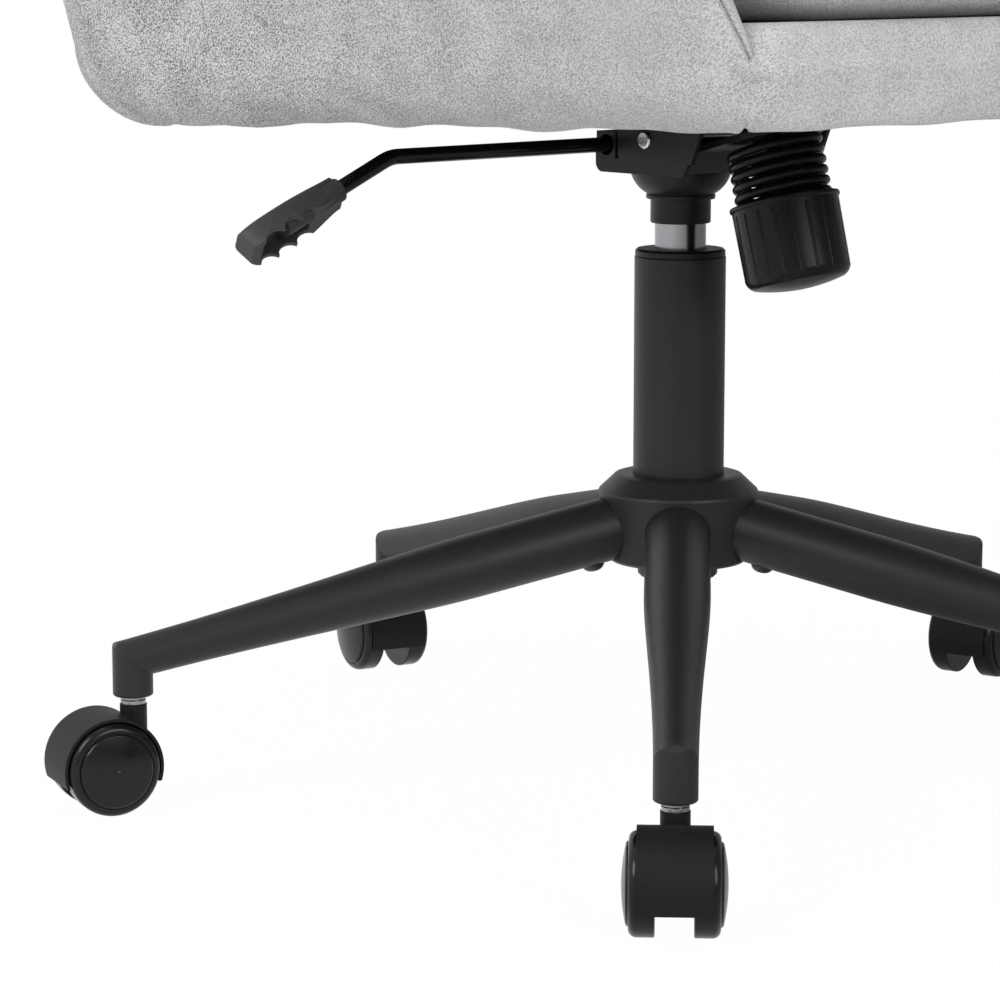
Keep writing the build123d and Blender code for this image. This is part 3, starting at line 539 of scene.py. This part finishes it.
@dataclass(frozen=True)
class Wave:
    """Smooth noise in space: its depth, its ripples per metre and the shift of its pattern."""

    depth: float
    scale: float
    seed: float

    def at(self, point: Sequence[float], lift: float = 0.0) -> float:
        """Height of the wave at a point, lifted by a share of its depth."""
        shift = Vector((self.seed, SEED_SKEW * self.seed, -self.seed))
        return self.depth * (lift + noise.noise(Vector(point) * self.scale + shift))


@dataclass
class SeatFrame:
    """Plan and heights that the upholstered pieces share."""

    half_width: float = 0.280
    back: float = 0.292
    front: float = 0.297
    corner_radius: float = 0.182
    corner_shrink: float = 0.6  # loss of the back corners' radius for an inset
    corner_steps: int = 16
    arm_front: float = 0.258
    front_radius: float = 0.034
    front_shrink: float = 0.12
    front_steps: int = 10
    wall_back: float = 0.048
    wall_arm: float = 0.044
    wall_tip: float = 0.028
    deck: float = 0.049
    foot_rise: float = 0.012
    plate_rise: float = 0.020
    flare_deg: float = 8.0
    rake_deg: float = 2.0

    def __post_init__(self) -> None:
        """Take the tilt axle from the frame."""
        self.pivot = Vector(joint("seat_tilt")["pos_m"])
        self.height = self.pivot.z + self.foot_rise
        self.plate = self.pivot.z + self.plate_rise

    def raked(self, points: Array) -> Array:
        """Lean points back with the seat about the tilt axle.

        Args:
            points: Positions, one a row.

        Returns:
            The leaned positions.
        """
        turn = np.array(Matrix.Rotation(math.radians(-self.rake_deg), 3, "X"))
        pivot = np.array(self.pivot)
        return (np.asarray(points) - pivot) @ turn.T + pivot

    def plan(self, inset: float, front: float, side: float, tip: float, back: float, count: int,
             corner: float | None = None) -> Array:
        """Seat outline, drawn in.

        Args:
            inset: Even inset all round.
            front: Reach of the front edge.
            side: Extra inset of the sides.
            tip: Extra inset of the front corners.
            back: Extra inset of the back.
            count: Points wanted.
            corner: Radius of the front corners, if not the seat's own.

        Returns:
            Plan points from the middle of the front edge.
        """
        rb = self.corner_radius - side - self.corner_shrink * inset
        rf = (self.front_radius if corner is None else corner) - self.front_shrink * inset
        w, t = self.half_width - side - inset, self.arm_front - tip - inset
        f, b = front - inset, self.back - back - inset
        right = np.vstack(([[0.0, -f], [t - rf, -f]],
                           arc_points((t - rf, rf - f), (rf, rf), -90, 0, self.front_steps),
                           [[w, b - rb]],
                           arc_points((w - rb, b - rb), (rb, rb), 0, 90, self.corner_steps)))
        return resample(np.vstack((right, right[::-1] * (-1.0, 1.0))), count)


@dataclass
class Tub:
    """Upholstered tub: arms that sweep up into the back, with a seam on each side of the rim."""

    seat: SeatFrame
    back_height: float = 0.462
    gap: float = 0.0002
    foot_radius: float = 0.046
    foot_limits: Pair = (0.5, 0.96)  # shares of the rise and of the wall
    rim_wall: float = 0.46
    rim_rise: float = 0.9
    rim_inside: float = 0.92
    top_wall: float = 0.92
    side_ease: float = 1.7
    rim_ease: float = 1.35
    front_turn: float = 0.030
    front_set: float = 0.036
    crown: float = 0.004
    crown_rise: float = 0.15
    seam_depth: float = 0.0030
    seam_width: float = 0.0021
    hem_share: float = 1.3
    hem_lift: float = 0.4
    hem_wave: Wave = Wave(0.0038, 24.0, 5.0)
    dents: tuple = (Wave(0.0011, 11.0, 3.0), Wave(0.0003, 45.0, 8.0))
    per_span: int = 10
    below_steps: int = 5
    round_steps: int = 14
    outer_steps: int = 34
    top_steps: int = 6
    inside_steps: int = 26
    tip_round: float = 0.004
    tip_deg: tuple = (85, 68, 50, 33, 16)
    # shares along the straight back and of the rim's height
    shoulder: Pair = (0.62, 0.985)
    # angle round the back corner, rim
    corner: tuple = ((72, 0.935), (48, 0.825), (24, 0.725), (4, 0.655))
    # share along the arm, rim, wall
    side: tuple = ((0.30, 0.605, 1.0), (0.55, 0.560, 0.95), (0.74, 0.500, 0.86),
                   (0.87, 0.405, 0.76), (1.0, 0.265, 0.68))
    # angle round the arm's front, rim
    turn: tuple = ((32, 0.165), (58, 0.095))

    def half(self) -> list[tuple[float, ...]]:
        """Upright sections from the middle of the back round to the front of one arm.

        Returns:
            A row for each: plan position, outward direction, rise and wall.
        """
        s, top = self.seat, self.back_height
        w, b, r = s.half_width, s.back, s.corner_radius
        along, rim = self.shoulder
        rows = [(0.0, b, 0.0, 1.0, top, s.wall_back),
                (along * (w - r), b, 0.0, 1.0, rim * top, s.wall_back)]
        first, last = self.corner[0][0], self.corner[-1][0]
        for deg, rim in self.corner:
            c, n = math.cos(math.radians(deg)), math.sin(math.radians(deg))
            wall = s.wall_back + (s.wall_arm - s.wall_back) * (first - deg) / (first - last)
            rows.append((w - r + r * c, b - r + r * n, c, n, rim * top, wall))
        start, end = (w, b - r), (s.arm_front, self.front_set - s.front)
        lean = math.atan2(start[0] - end[0], start[1] - end[1])
        out = (math.cos(lean), -math.sin(lean))
        for part, rim, wall in self.side:
            spot = (start[0] + part * (end[0] - start[0]), start[1] + part * (end[1] - start[1]))
            rows.append((*spot, *out, rim * top, wall * s.wall_arm))
        for deg, rim in self.turn:
            a = lean + math.radians(deg)
            spot = (end[0] - self.front_turn * (math.cos(lean) - math.cos(a)),
                    end[1] - self.front_turn * (math.sin(a) - math.sin(lean)))
            rows.append((*spot, math.cos(a), -math.sin(a), rim * top, s.wall_tip))
        return rows

    def smooth_rows(self) -> Array:
        """Sections of the whole tub, spread finely along smooth curves.

        Returns:
            One row of numbers for each section.
        """
        half = np.array(self.half())
        rows = np.vstack((half[:0:-1] * (-1.0, 1.0, -1.0, 1.0, 1.0, 1.0), half))
        spans = np.linalg.norm(np.diff(rows[:, :2], axis=0), axis=1)
        slope = np.gradient(rows, np.concatenate(([0.0], np.cumsum(spans))), axis=0)
        fine = []
        for i, h in enumerate(spans):
            for t in np.arange(self.per_span) / self.per_span:
                fine.append((2 * t ** 3 - 3 * t ** 2 + 1) * rows[i]
                            + (t ** 3 - 2 * t ** 2 + t) * h * slope[i]
                            + (3 * t ** 2 - 2 * t ** 3) * rows[i + 1]
                            + (t ** 3 - t ** 2) * h * slope[i + 1])
        return np.array(fine + [rows[-1]])

    def outline(self, rise: float, wall: float) -> tuple[Array, Array]:
        """Closed outline of a section, with the outer and inner seams and the crowns worked in.

        Args:
            rise: Height of the rim over the seat's lower edge.
            wall: Thickness of the wall.

        Returns:
            Points as (outward, up), and the weight of the hem wave at each.
        """
        foot = min(self.foot_radius, self.foot_limits[0] * rise, self.foot_limits[1] * wall)
        rim = self.rim_wall * min(wall, self.rim_rise * rise)
        rim_foot, bend = rise - rim, self.rim_inside * rim
        lean = math.tan(math.radians(self.seat.flare_deg)) * rim_foot
        inner = lean - self.top_wall * wall
        up = 1.0 - (1.0 - even_steps(0, 1, self.outer_steps)) ** self.side_ease
        down = even_steps(0, 1, self.inside_steps)
        turn = np.radians(even_steps(0, 1, self.round_steps) ** self.rim_ease * 90)
        below = np.column_stack((even_steps(-wall, -foot, self.below_steps),
                                 np.zeros(self.below_steps)))
        curve = arc_points((-foot, foot), (foot, foot), -90, 0, self.round_steps)
        outer = np.column_stack((lean * up, foot + (rim_foot - foot) * up))
        rim_out = np.column_stack((lean - rim + rim * np.cos(turn), rim_foot + rim * np.sin(turn)))
        top = np.column_stack((even_steps(lean - rim, inner + bend, self.top_steps),
                               np.full(self.top_steps, rise)))
        rim_in = arc_points((inner + bend, rim_foot), (bend, rim), 90, 180, self.round_steps)
        inside = np.column_stack((inner + (-wall - inner) * down, rim_foot * (1 - down)))
        points = np.vstack((below, curve, outer, rim_out, top, rim_in, inside))
        first = len(below) + len(curve)
        seam_out = first + len(outer) - 1
        seam_in = seam_out + len(rim_out) + len(top) + len(rim_in)
        step = np.roll(points, -1, axis=0) - np.roll(points, 1, axis=0)
        normal = np.column_stack((step[:, 1], -step[:, 0]))
        normal /= np.linalg.norm(step, axis=1)[:, None]
        crown = self.crown * min(1.0, rise / self.crown_rise)
        push = np.zeros(len(points))
        push[first:seam_out] += crown * np.sin(np.pi * up[:-1])
        push[seam_in + 1:] += crown * np.sin(np.pi * down)
        for seam in (seam_out, seam_in):
            away = np.linalg.norm(points - points[seam], axis=1)
            push -= self.seam_depth * np.exp(-(away / self.seam_width) ** 2)
        hem = np.clip(1.0 - points[:, 1] / (self.hem_share * foot), 0.0, 1.0)
        return points + normal * push[:, None], hem

    def build(self) -> Piece:
        """Make the padded tub in the place of its plain solid.

        Returns:
            The tub piece.
        """
        base = self.seat.height + self.gap
        rings = []
        for x, y, nx, ny, rise, wall in self.smooth_rows():
            length = math.hypot(nx, ny)
            out = np.array((nx / length, ny / length, 0.0))
            shape, hem = self.outline(rise, wall)
            ring = np.array((x, y, base)) + shape[:, :1] * out
            ring[:, 2] += shape[:, 1]
            rings.append(ring + self.soften(ring, out, hem))
        rings = self.tip_rings(rings, 0, 1) + rings + self.tip_rings(rings, -1, -2)[::-1]
        points = np.vstack((*rings, rings[0].mean(axis=0), rings[-1].mean(axis=0)))
        faces = capped_faces(len(rings), len(rings[0]))
        piece = new_piece("tub_upholstery", self.seat.raked(points), faces)
        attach(piece, Body.SEAT.value)
        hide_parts("tub_shell")
        dress(piece, "fabric_grey")
        return piece

    def soften(self, ring: Array, out: Array, hem: Array) -> Array:
        """Slow dents of the padding and the wave of the lower edge.

        Args:
            ring: Section points.
            out: Outward direction of the section.
            hem: Weight of the hem wave at each point.

        Returns:
            The shift of each point.
        """
        shift = np.zeros_like(ring)
        for i, point in enumerate(ring):
            shift[i] = out * sum(dent.at(point) for dent in self.dents)
            shift[i, 2] += hem[i] * self.hem_wave.at((point[0], point[1], 0.0), self.hem_lift)
        return shift

    def tip_rings(self, rings: list[Array], end: int, before: int) -> list[Array]:
        """Shrinking sections that round off an arm's front end.

        Args:
            rings: Sections of the tub.
            end: Number of the end section.
            before: Number of its neighbour.

        Returns:
            The added sections, outermost first.
        """
        centre = rings[end].mean(axis=0)
        ahead = centre - rings[before].mean(axis=0)
        ahead = ahead / np.linalg.norm(ahead)
        added = []
        for angle in np.radians(self.tip_deg):
            share = 0.5 * (math.cos(angle) + math.sqrt(math.cos(angle)))
            reach = ahead * self.tip_round * math.sin(angle)
            added.append(centre + (rings[end] - centre) * share + reach)
        return added


@dataclass
class FrontRail:
    """Upholstered seat base whose front edge shows as the rail under the cushion."""

    seat: SeatFrame
    clearance: float = 0.0015
    lower_round: Pair = (0.015, 0.022)
    upper_round: Pair = (0.0100, 0.014)
    lower_steps: int = 9
    face_steps: int = 12
    upper_steps: int = 8
    bulge: float = 0.0025
    columns: int = 360
    lift: float = 0.0012
    depth: float = 0.0245
    corner: float = 0.013
    reach: float = 0.014  # how far the front corners go into the arm fronts
    recess: float = 0.0012
    hem_height: float = 0.03
    hem_wave: Wave = Wave(0.0015, 21.0, 2.0)
    dent: Wave = Wave(0.0010, 16.0, 6.0)
    deck_shares: tuple = (0.93, 0.8, 0.55, 0.25)

    def profile(self) -> Array:
        """Inset and height of each row, from the lower edge to the deck.

        Returns:
            One (inset, height) a row.
        """
        (li, lz), (ui, uz) = self.lower_round, self.upper_round
        deck = self.seat.deck - self.lift
        lower = arc_points((li, lz), (-li, -lz), 90, 0, self.lower_steps)
        part = even_steps(0, 1, self.face_steps)
        face = np.column_stack((-self.bulge * np.sin(np.pi * part), lz + (deck - uz - lz) * part))
        upper = arc_points((ui, deck - uz), (-ui, uz), 0, 90, self.upper_steps)
        return np.vstack(([[li, 0.0]], lower, face, upper))

    def build(self) -> Piece:
        """Make the padded base in the place of its plain solid.

        Returns:
            The base piece.
        """
        s = self.seat
        side, back = s.wall_arm + self.clearance, s.wall_back + self.clearance
        tip = s.wall_tip - self.reach
        rings = []
        for inset, z in self.profile():
            plan = s.plan(inset, s.front, side, tip, back, self.columns, self.corner)
            level = np.full(self.columns, s.height + self.lift + z)
            rings.append(np.column_stack((plan, level)))
        edge = rings[-1]
        rings = self.recessed(rings + [edge * (share, share, 1.0) for share in self.deck_shares])
        points = np.vstack(rings)
        self.soften(points)
        ends = np.array([[0.0, 0.0, points[0, 2]], [0.0, 0.0, rings[-1][0, 2]]])
        faces = capped_faces(len(rings), self.columns)
        piece = new_piece("front_rail_upholstery", s.raked(np.vstack((points, ends))), faces)
        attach(piece, Body.SEAT.value)
        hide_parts("seat_base")
        dress(piece, "fabric_grey")
        return piece

    def recessed(self, rings: list[Array]) -> list[Array]:
        """Raise the underside behind the front strip, over the seat plate.

        Args:
            rings: Rows of points from the lower edge up.

        Returns:
            The rows, with two more that close the strip's back.
        """
        line, level = self.depth - self.seat.front, self.seat.plate + self.recess
        strip = rings[0][:, 1] < line
        for ring in rings:
            behind = ring[:, 1] >= line
            ring[behind, 2] = np.maximum(ring[behind, 2], level)
        lip = rings[0].copy()
        lip[strip, 1] = line
        top = lip.copy()
        top[:, 2] = level
        return [top, lip] + rings

    def soften(self, points: Array) -> None:
        """Wave the front strip's lower edge and dent the front half's padding a little.

        Args:
            points: Positions, changed in place.
        """
        floor = self.seat.height + self.lift
        for point in points:
            if point[1] < self.depth - self.seat.front:
                low = max(0.0, 1.0 - (point[2] - floor) / self.hem_height)
                point[2] += low * self.hem_wave.at((point[0], point[1], 0.0))
            if point[1] < 0:
                point[1] += self.dent.at(point)


@dataclass
class Cushion:
    """Loose seat cushion, swollen by a cloth simulation from a slightly smaller shape."""

    seat: SeatFrame
    height: float = 0.094
    clearance: float = 0.0004
    set_back: float = 0.003
    wall_gap: float = 0.004
    tip_gap: float = 0.006
    middle: float = 1.005  # height of the top's middle, as a share
    voxel: float = 0.0065
    pressure: float = 4.0
    frames: int = 20
    held_below: float = -0.6
    cap_top: float = 0.010
    cap_side: float = 0.003
    cap_power: float = 1.5
    least: float = 1e-9
    seam_at: float = 0.56
    seam_depth: float = 0.0028
    seam_width: float = 0.0035
    columns: int = 220
    # share of the height, inset
    rows: tuple = ((0.0, 0.026), (0.03, 0.016), (0.08, 0.0085), (0.16, 0.003), (0.28, 0.0004),
                   (0.36, 0.0), (0.52, 0.0015), (0.66, 0.007), (0.77, 0.018), (0.86, 0.038),
                   (0.93, 0.068), (0.98, 0.110), (1.0, 0.150))

    def start_shape(self) -> Piece:
        """Closed start shape of the cushion.

        Returns:
            The start piece.
        """
        s = self.seat
        lean = math.tan(math.radians(s.flare_deg)) * s.deck
        side, back = s.wall_arm - lean + self.wall_gap, s.wall_back - lean + self.wall_gap
        front, tip = s.front - self.set_back, s.wall_tip + self.tip_gap
        floor = s.height + s.deck + self.clearance
        rings = []
        for part, inset in self.rows:
            plan = s.plan(inset, front, side, tip, back, self.columns)
            level = np.full(self.columns, floor + part * self.height)
            rings.append(np.column_stack((plan, level)))
        ends = np.array([[0.0, 0.0, floor], [0.0, 0.0, floor + self.middle * self.height]])
        faces = capped_faces(len(rings), self.columns)
        return new_piece("seat_cushion_padded", np.vstack((*rings, ends)), faces)

    def swell(self, piece: Piece) -> None:
        """Blow the cushion up as cloth and keep the capped result.

        Args:
            piece: Piece to swell.
        """
        start, ways = read_points(piece), read_points(piece, "normal")
        held = piece.vertex_groups.new(name="held")
        held.add([i for i, n in enumerate(ways) if n[2] < self.held_below], 1.0, "REPLACE")
        cloth = piece.modifiers.new("swell", "CLOTH")
        rules = cloth.settings
        rules.quality = 5
        rules.mass = 0.3
        rules.tension_stiffness = rules.compression_stiffness = 12.0
        rules.bending_stiffness = 0.4
        rules.use_pressure = True
        rules.uniform_pressure_force = self.pressure
        rules.vertex_group_mass = held.name
        rules.effector_weights.gravity = 0.0
        cloth.point_cache.frame_start = 1
        cloth.point_cache.frame_end = self.frames
        scene = bpy.context.scene
        for number in range(1, self.frames + 1):
            scene.frame_set(number)
        swollen = piece.evaluated_get(bpy.context.evaluated_depsgraph_get())
        moved = read_points(swollen) - start
        piece.modifiers.clear()
        piece.vertex_groups.clear()
        scene.frame_set(1)
        upward = np.clip(ways[:, 2], 0.0, 1.0) ** self.cap_power
        cap = self.cap_side + (self.cap_top - self.cap_side) * upward
        length = np.maximum(np.linalg.norm(moved, axis=1), self.least)
        moved *= np.minimum(1.0, cap / length)[:, None]
        move_points(piece, start + moved)

    def seam(self, piece: Piece) -> None:
        """Draw in the boxing seam round the side.

        Args:
            piece: Cushion piece.
        """
        line = self.seat.height + self.seat.deck + self.seam_at * self.height
        points, ways = read_points(piece), read_points(piece, "normal")
        flat = np.clip(1.0 - np.abs(ways[:, 2]), 0.0, 1.0)
        draw = np.exp(-((points[:, 2] - line) / self.seam_width) ** 2) * flat
        move_points(piece, points - ways * (self.seam_depth * draw)[:, None])

    def build(self) -> Piece:
        """Make the padded cushion in the place of its plain solid.

        Returns:
            The cushion piece.
        """
        piece = self.start_shape()
        modify(piece, "REMESH", mode="VOXEL", voxel_size=self.voxel)
        self.swell(piece)
        modify(piece, "SUBSURF", levels=1, render_levels=1)
        self.seam(piece)
        move_points(piece, self.seat.raked(read_points(piece)))
        piece.data.shade_smooth()
        piece.data.update()
        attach(piece, Body.SEAT.value)
        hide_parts("seat_cushion")
        dress(piece, "fabric_grey")
        return piece


@dataclass
class DustCover:
    """Thin black cloth pulled flat under the seat."""

    seat: SeatFrame
    front_set: float = 0.026
    edge: float = 0.054
    thickness: float = 0.0008
    columns: int = 160
    sag: Wave = Wave(0.0004, 30.0, 4.0)
    shares: tuple = (1.0, 0.985, 0.95, 0.85, 0.7, 0.5, 0.3, 0.12)

    def build(self) -> Piece:
        """Make the cover in the place of its plain solid.

        Returns:
            The cover piece.
        """
        s = self.seat
        tip, level = s.wall_tip + self.front_set, s.plate + 0.5 * self.thickness
        plan = s.plan(0.0, s.front - self.front_set, self.edge, tip, self.edge, self.columns)
        rings = []
        for share in self.shares:
            flat = plan * share
            sag = np.array([self.sag.at((x, y, 0.0)) for x, y in flat])
            rings.append(np.column_stack((flat, level + sag)))
        count = len(rings) * self.columns
        faces = band_faces(len(rings), self.columns)
        faces += fan_faces(count - self.columns, self.columns, count)
        points = np.vstack((*rings, (0.0, 0.0, level)))
        piece = new_piece("dust_cover_cloth", s.raked(points), faces)
        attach(piece, Body.SEAT.value)
        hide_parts("dust_cover")
        dress(piece, "cover_black")
        return piece


@dataclass
class TensionSpring:
    """Coil spring between the tongue of the tilt box and the knob's washer."""

    diameter: float = 0.052
    wire: float = 0.0052
    turns: float = 9.75
    length: float = 0.061
    bare: float = 0.038  # length above the knob's cup, which takes up the tilt
    end_gap: float = 0.0004
    tongue: float = 0.0015
    steps: int = 40
    sides: int = 14

    def build(self) -> Piece:
        """Make the spring along the knob's axis.

        Returns:
            The spring piece.
        """
        turning = joint("knob_turn")
        down = Vector(turning["axis"]).normalized()
        head = Vector(turning["pos_m"]) + down * self.tongue
        across = Vector((1.0, 0.0, 0.0))
        third = down.cross(across)
        radius = 0.5 * (self.diameter - self.wire)
        low = 0.5 * self.wire + self.end_gap
        travel = self.length - 2 * low
        points = []
        count = int(self.turns * self.steps)
        for i in range(count + 1):
            angle = 2 * math.pi * i / self.steps
            outward = across * math.cos(angle) + third * math.sin(angle)
            centre = head + outward * radius + down * (low + travel * i / count)
            for k in range(self.sides):
                a = 2 * math.pi * k / self.sides
                way = outward * math.cos(a) + down * math.sin(a)
                points.append(centre + way * 0.5 * self.wire)
        last = count * self.sides
        faces = band_faces(count + 1, self.sides)
        faces += [tuple(range(self.sides)), tuple(range(last, last + self.sides))]
        piece = new_piece("tension_spring_coil", points, faces)
        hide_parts("tension_spring")
        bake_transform(piece)
        dress(piece, "spring_black")
        return piece


@dataclass
class HardPieces:
    """Slots of one hard sub-assembly, with the starts of the names of their nodes."""

    title: str
    slots: dict[str, str | tuple[str, ...]]

    def dress(self) -> int:
        """Give each node the finish of the first slot that names it.

        Returns:
            The number of nodes dressed.
        """
        done = 0
        for name, node in frame["nodes"].items():
            slots = [slot for slot, starts in self.slots.items() if name.startswith(starts)]
            if slots:
                dress(node, slots[0])
                done += 1
        return done


HARD_PIECES = (
    HardPieces("base", {"fastener": "leg_bolts", "powder_black": ("base_hub", "leg_")}),
    HardPieces("casters", {
        "bright_steel": "caster_stems", "steel": ("stem_grip_rings", "caster_axle"),
        "hood_plastic": "caster_hood", "wheel_plastic": "wheel_"}),
    HardPieces("column", {
        "powder_black": "column_tube", "bush_plastic": "column_bush",
        "steel": ("bearing_", "rod_clip", "gas_piston", "release_pin"),
        "bright_steel": ("piston_rod", "gas_cylinder"), "seal_rubber": "cylinder_seal"}),
    HardPieces("tilt mechanism", {
        "mechanism_black": ("taper_cone", "tilt_box", "seat_plate"),
        "steel": ("tilt_axle", "seat_nuts", "spring_washer", "knob_nut"),
        "fastener": ("seat_bolts", "tension_bolt"), "knob_plastic": "tension_knob"}),
    HardPieces("lever", {
        "lever_black": "lever_rod", "grip_plastic": "lever_grip", "bush_plastic": "lever_guide"}),
    HardPieces("seat board", {"plywood": "seat_board"}),
)


@dataclass(frozen=True)
class Lamp:
    """A square lamp: place right of the column, toward the camera and up, side and watts."""

    name: str
    right: float
    toward: float
    up: float
    size: float
    power: float


@dataclass
class Studio:
    """White floor, soft lamps and the photograph's camera."""

    distance: float = 1.8725
    eye: float = 0.4659
    focal_pixels: float = 3428.9
    frame_pixels: float = 1000.0
    sensor_mm: float = 36.0
    yaw_deg: float = -3.015
    pitch_deg: float = 9.503
    floor_radius: float = 30.0
    floor_sides: int = 96
    floor_shade: float = 0.98
    floor_lift: float = 0.985
    lift_range: Pair = (0.5, 2.2)
    ambient: float = 0.55
    shade_side: float = 0.32
    shade_range: Pair = (-0.7, 0.7)
    aim: float = 0.30
    lamps: tuple = (Lamp("key", -1.6, 1.7, 1.9, 1.3, 35.0), Lamp("fill", 1.5, 1.9, 1.3, 1.4, 26.0),
                    Lamp("top", 0.0, -0.2, 2.6, 1.8, 12.0))

    def __post_init__(self) -> None:
        """Set the two plan directions of the view."""
        half = math.sqrt(0.5)
        self.right = Vector((half, -half, 0.0))
        self.toward = Vector((-half, -half, 0.0))

    def put(self, data: bpy.types.ID, spot: Vector, look: Vector) -> Piece:
        """Put a camera or a lamp in its place.

        Args:
            data: The camera or lamp.
            spot: Its place.
            look: Direction it faces.

        Returns:
            The placed object.
        """
        held = bpy.data.objects.new(data.name, data)
        held.location = spot
        held.rotation_mode = "QUATERNION"
        held.rotation_quaternion = look.to_track_quat("-Z", "Y")
        bpy.context.scene.collection.objects.link(held)
        return held

    def camera(self) -> None:
        """Make the camera at the photograph's viewing angle."""
        yaw, pitch = math.radians(self.yaw_deg), math.radians(self.pitch_deg)
        level = -self.toward * math.cos(yaw) + self.right * math.sin(yaw)
        look = level * math.cos(pitch) - Vector((0.0, 0.0, math.sin(pitch)))
        data = bpy.data.cameras.new("camera")
        data.sensor_width = self.sensor_mm
        data.lens = self.sensor_mm * self.focal_pixels / self.frame_pixels
        data.clip_start, data.clip_end = 0.05, 100.0
        spot = self.toward * self.distance + Vector((0.0, 0.0, self.eye))
        bpy.context.scene.camera = self.put(data, spot, look)

    def hang(self, lamp: Lamp) -> None:
        """Hang one lamp so that it faces the seat.

        Args:
            lamp: Lamp to hang.
        """
        data = bpy.data.lights.new(lamp.name, "AREA")
        data.size, data.energy = lamp.size, lamp.power
        spot = self.right * lamp.right + self.toward * lamp.toward + Vector((0.0, 0.0, lamp.up))
        self.put(data, spot, Vector((0.0, 0.0, self.aim)) - spot)

    def mirrored(self, board: Board, way: Socket) -> Socket:
        """Brightness of the studio in reflections, which falls off to the right."""
        left = board.vector("DOT_PRODUCT", way, tuple(-self.right))
        return board.spread(left, self.shade_range, (self.shade_side, 1.0))

    def floor(self) -> None:
        """Make the floor, nearly all white where it is seen, with the chair's soft shadow."""
        angles = np.linspace(0.0, 2 * math.pi, self.floor_sides, endpoint=False)
        points = [(self.floor_radius * math.cos(a), self.floor_radius * math.sin(a), 0.0)
                  for a in angles]
        floor = new_piece("floor", points, [tuple(range(len(points)))])
        material, board, shader = new_material("floor")
        board.feed(shader, {
            "Base Color": (self.floor_shade,) * 3 + (1.0,), "Roughness": 0.9,
            "Specular IOR Level": 0.1})
        path = board.add("ShaderNodeLightPath").outputs
        seen = board.math("MAXIMUM", path["Is Camera Ray"], path["Is Glossy Ray"])
        seen = board.math("MAXIMUM", seen, path["Is Transmission Ray"])
        place = board.place()
        far = board.vector("LENGTH", place)
        share = board.math("MULTIPLY", seen,
                           board.spread(far, self.lift_range, (self.floor_lift, 1.0)))
        mirrored = self.mirrored(board, board.vector("NORMALIZE", place))
        level = board.spread(path["Is Glossy Ray"], UNIT, (1.0, mirrored))
        white = board.add("ShaderNodeEmission", {"Strength": level}).outputs[0]
        mix = board.add("ShaderNodeMixShader", {0: share, 1: shader.outputs[0], 2: white})
        board.feed(board.tree.nodes["Material Output"], {"Surface": mix.outputs[0]})
        floor.data.materials.append(material)

    def world(self) -> None:
        """Make the light all round: white where it is seen, darker to the right in reflections."""
        world = bpy.data.worlds.new("studio")
        world.use_nodes = True
        bpy.context.scene.world = world
        board = Board(world.node_tree)
        path = board.add("ShaderNodeLightPath").outputs
        ray = board.add("ShaderNodeTexCoord").outputs["Generated"]
        soft = (self.ambient, self.mirrored(board, ray))
        shown = board.math("MAXIMUM", path["Is Camera Ray"], path["Is Transmission Ray"])
        level = board.spread(shown, UNIT, (board.spread(path["Is Glossy Ray"], UNIT, soft), 1.0))
        board.feed(world.node_tree.nodes["Background"],
                   {"Color": (1.0, 1.0, 1.0, 1.0), "Strength": level})

    def build(self) -> None:
        """Make everything round the chair."""
        self.camera()
        self.floor()
        self.world()
        for lamp in self.lamps:
            self.hang(lamp)
        bpy.context.scene.view_settings.view_transform = "Standard"


def main() -> None:
    """Build the chair's soft pieces, dress the rest and set the studio."""
    logging.basicConfig(level=logging.INFO, format="%(message)s")
    Studio().build()
    for group in HARD_PIECES:
        log.info("%s: %d nodes dressed", group.title, group.dress())
    seat = SeatFrame()
    for maker in (Tub(seat), FrontRail(seat), Cushion(seat), DustCover(seat), TensionSpring()):
        piece = maker.build()
        log.info("%s: %d points", piece.name, len(piece.data.vertices))


if __name__ == "__main__":
    main()
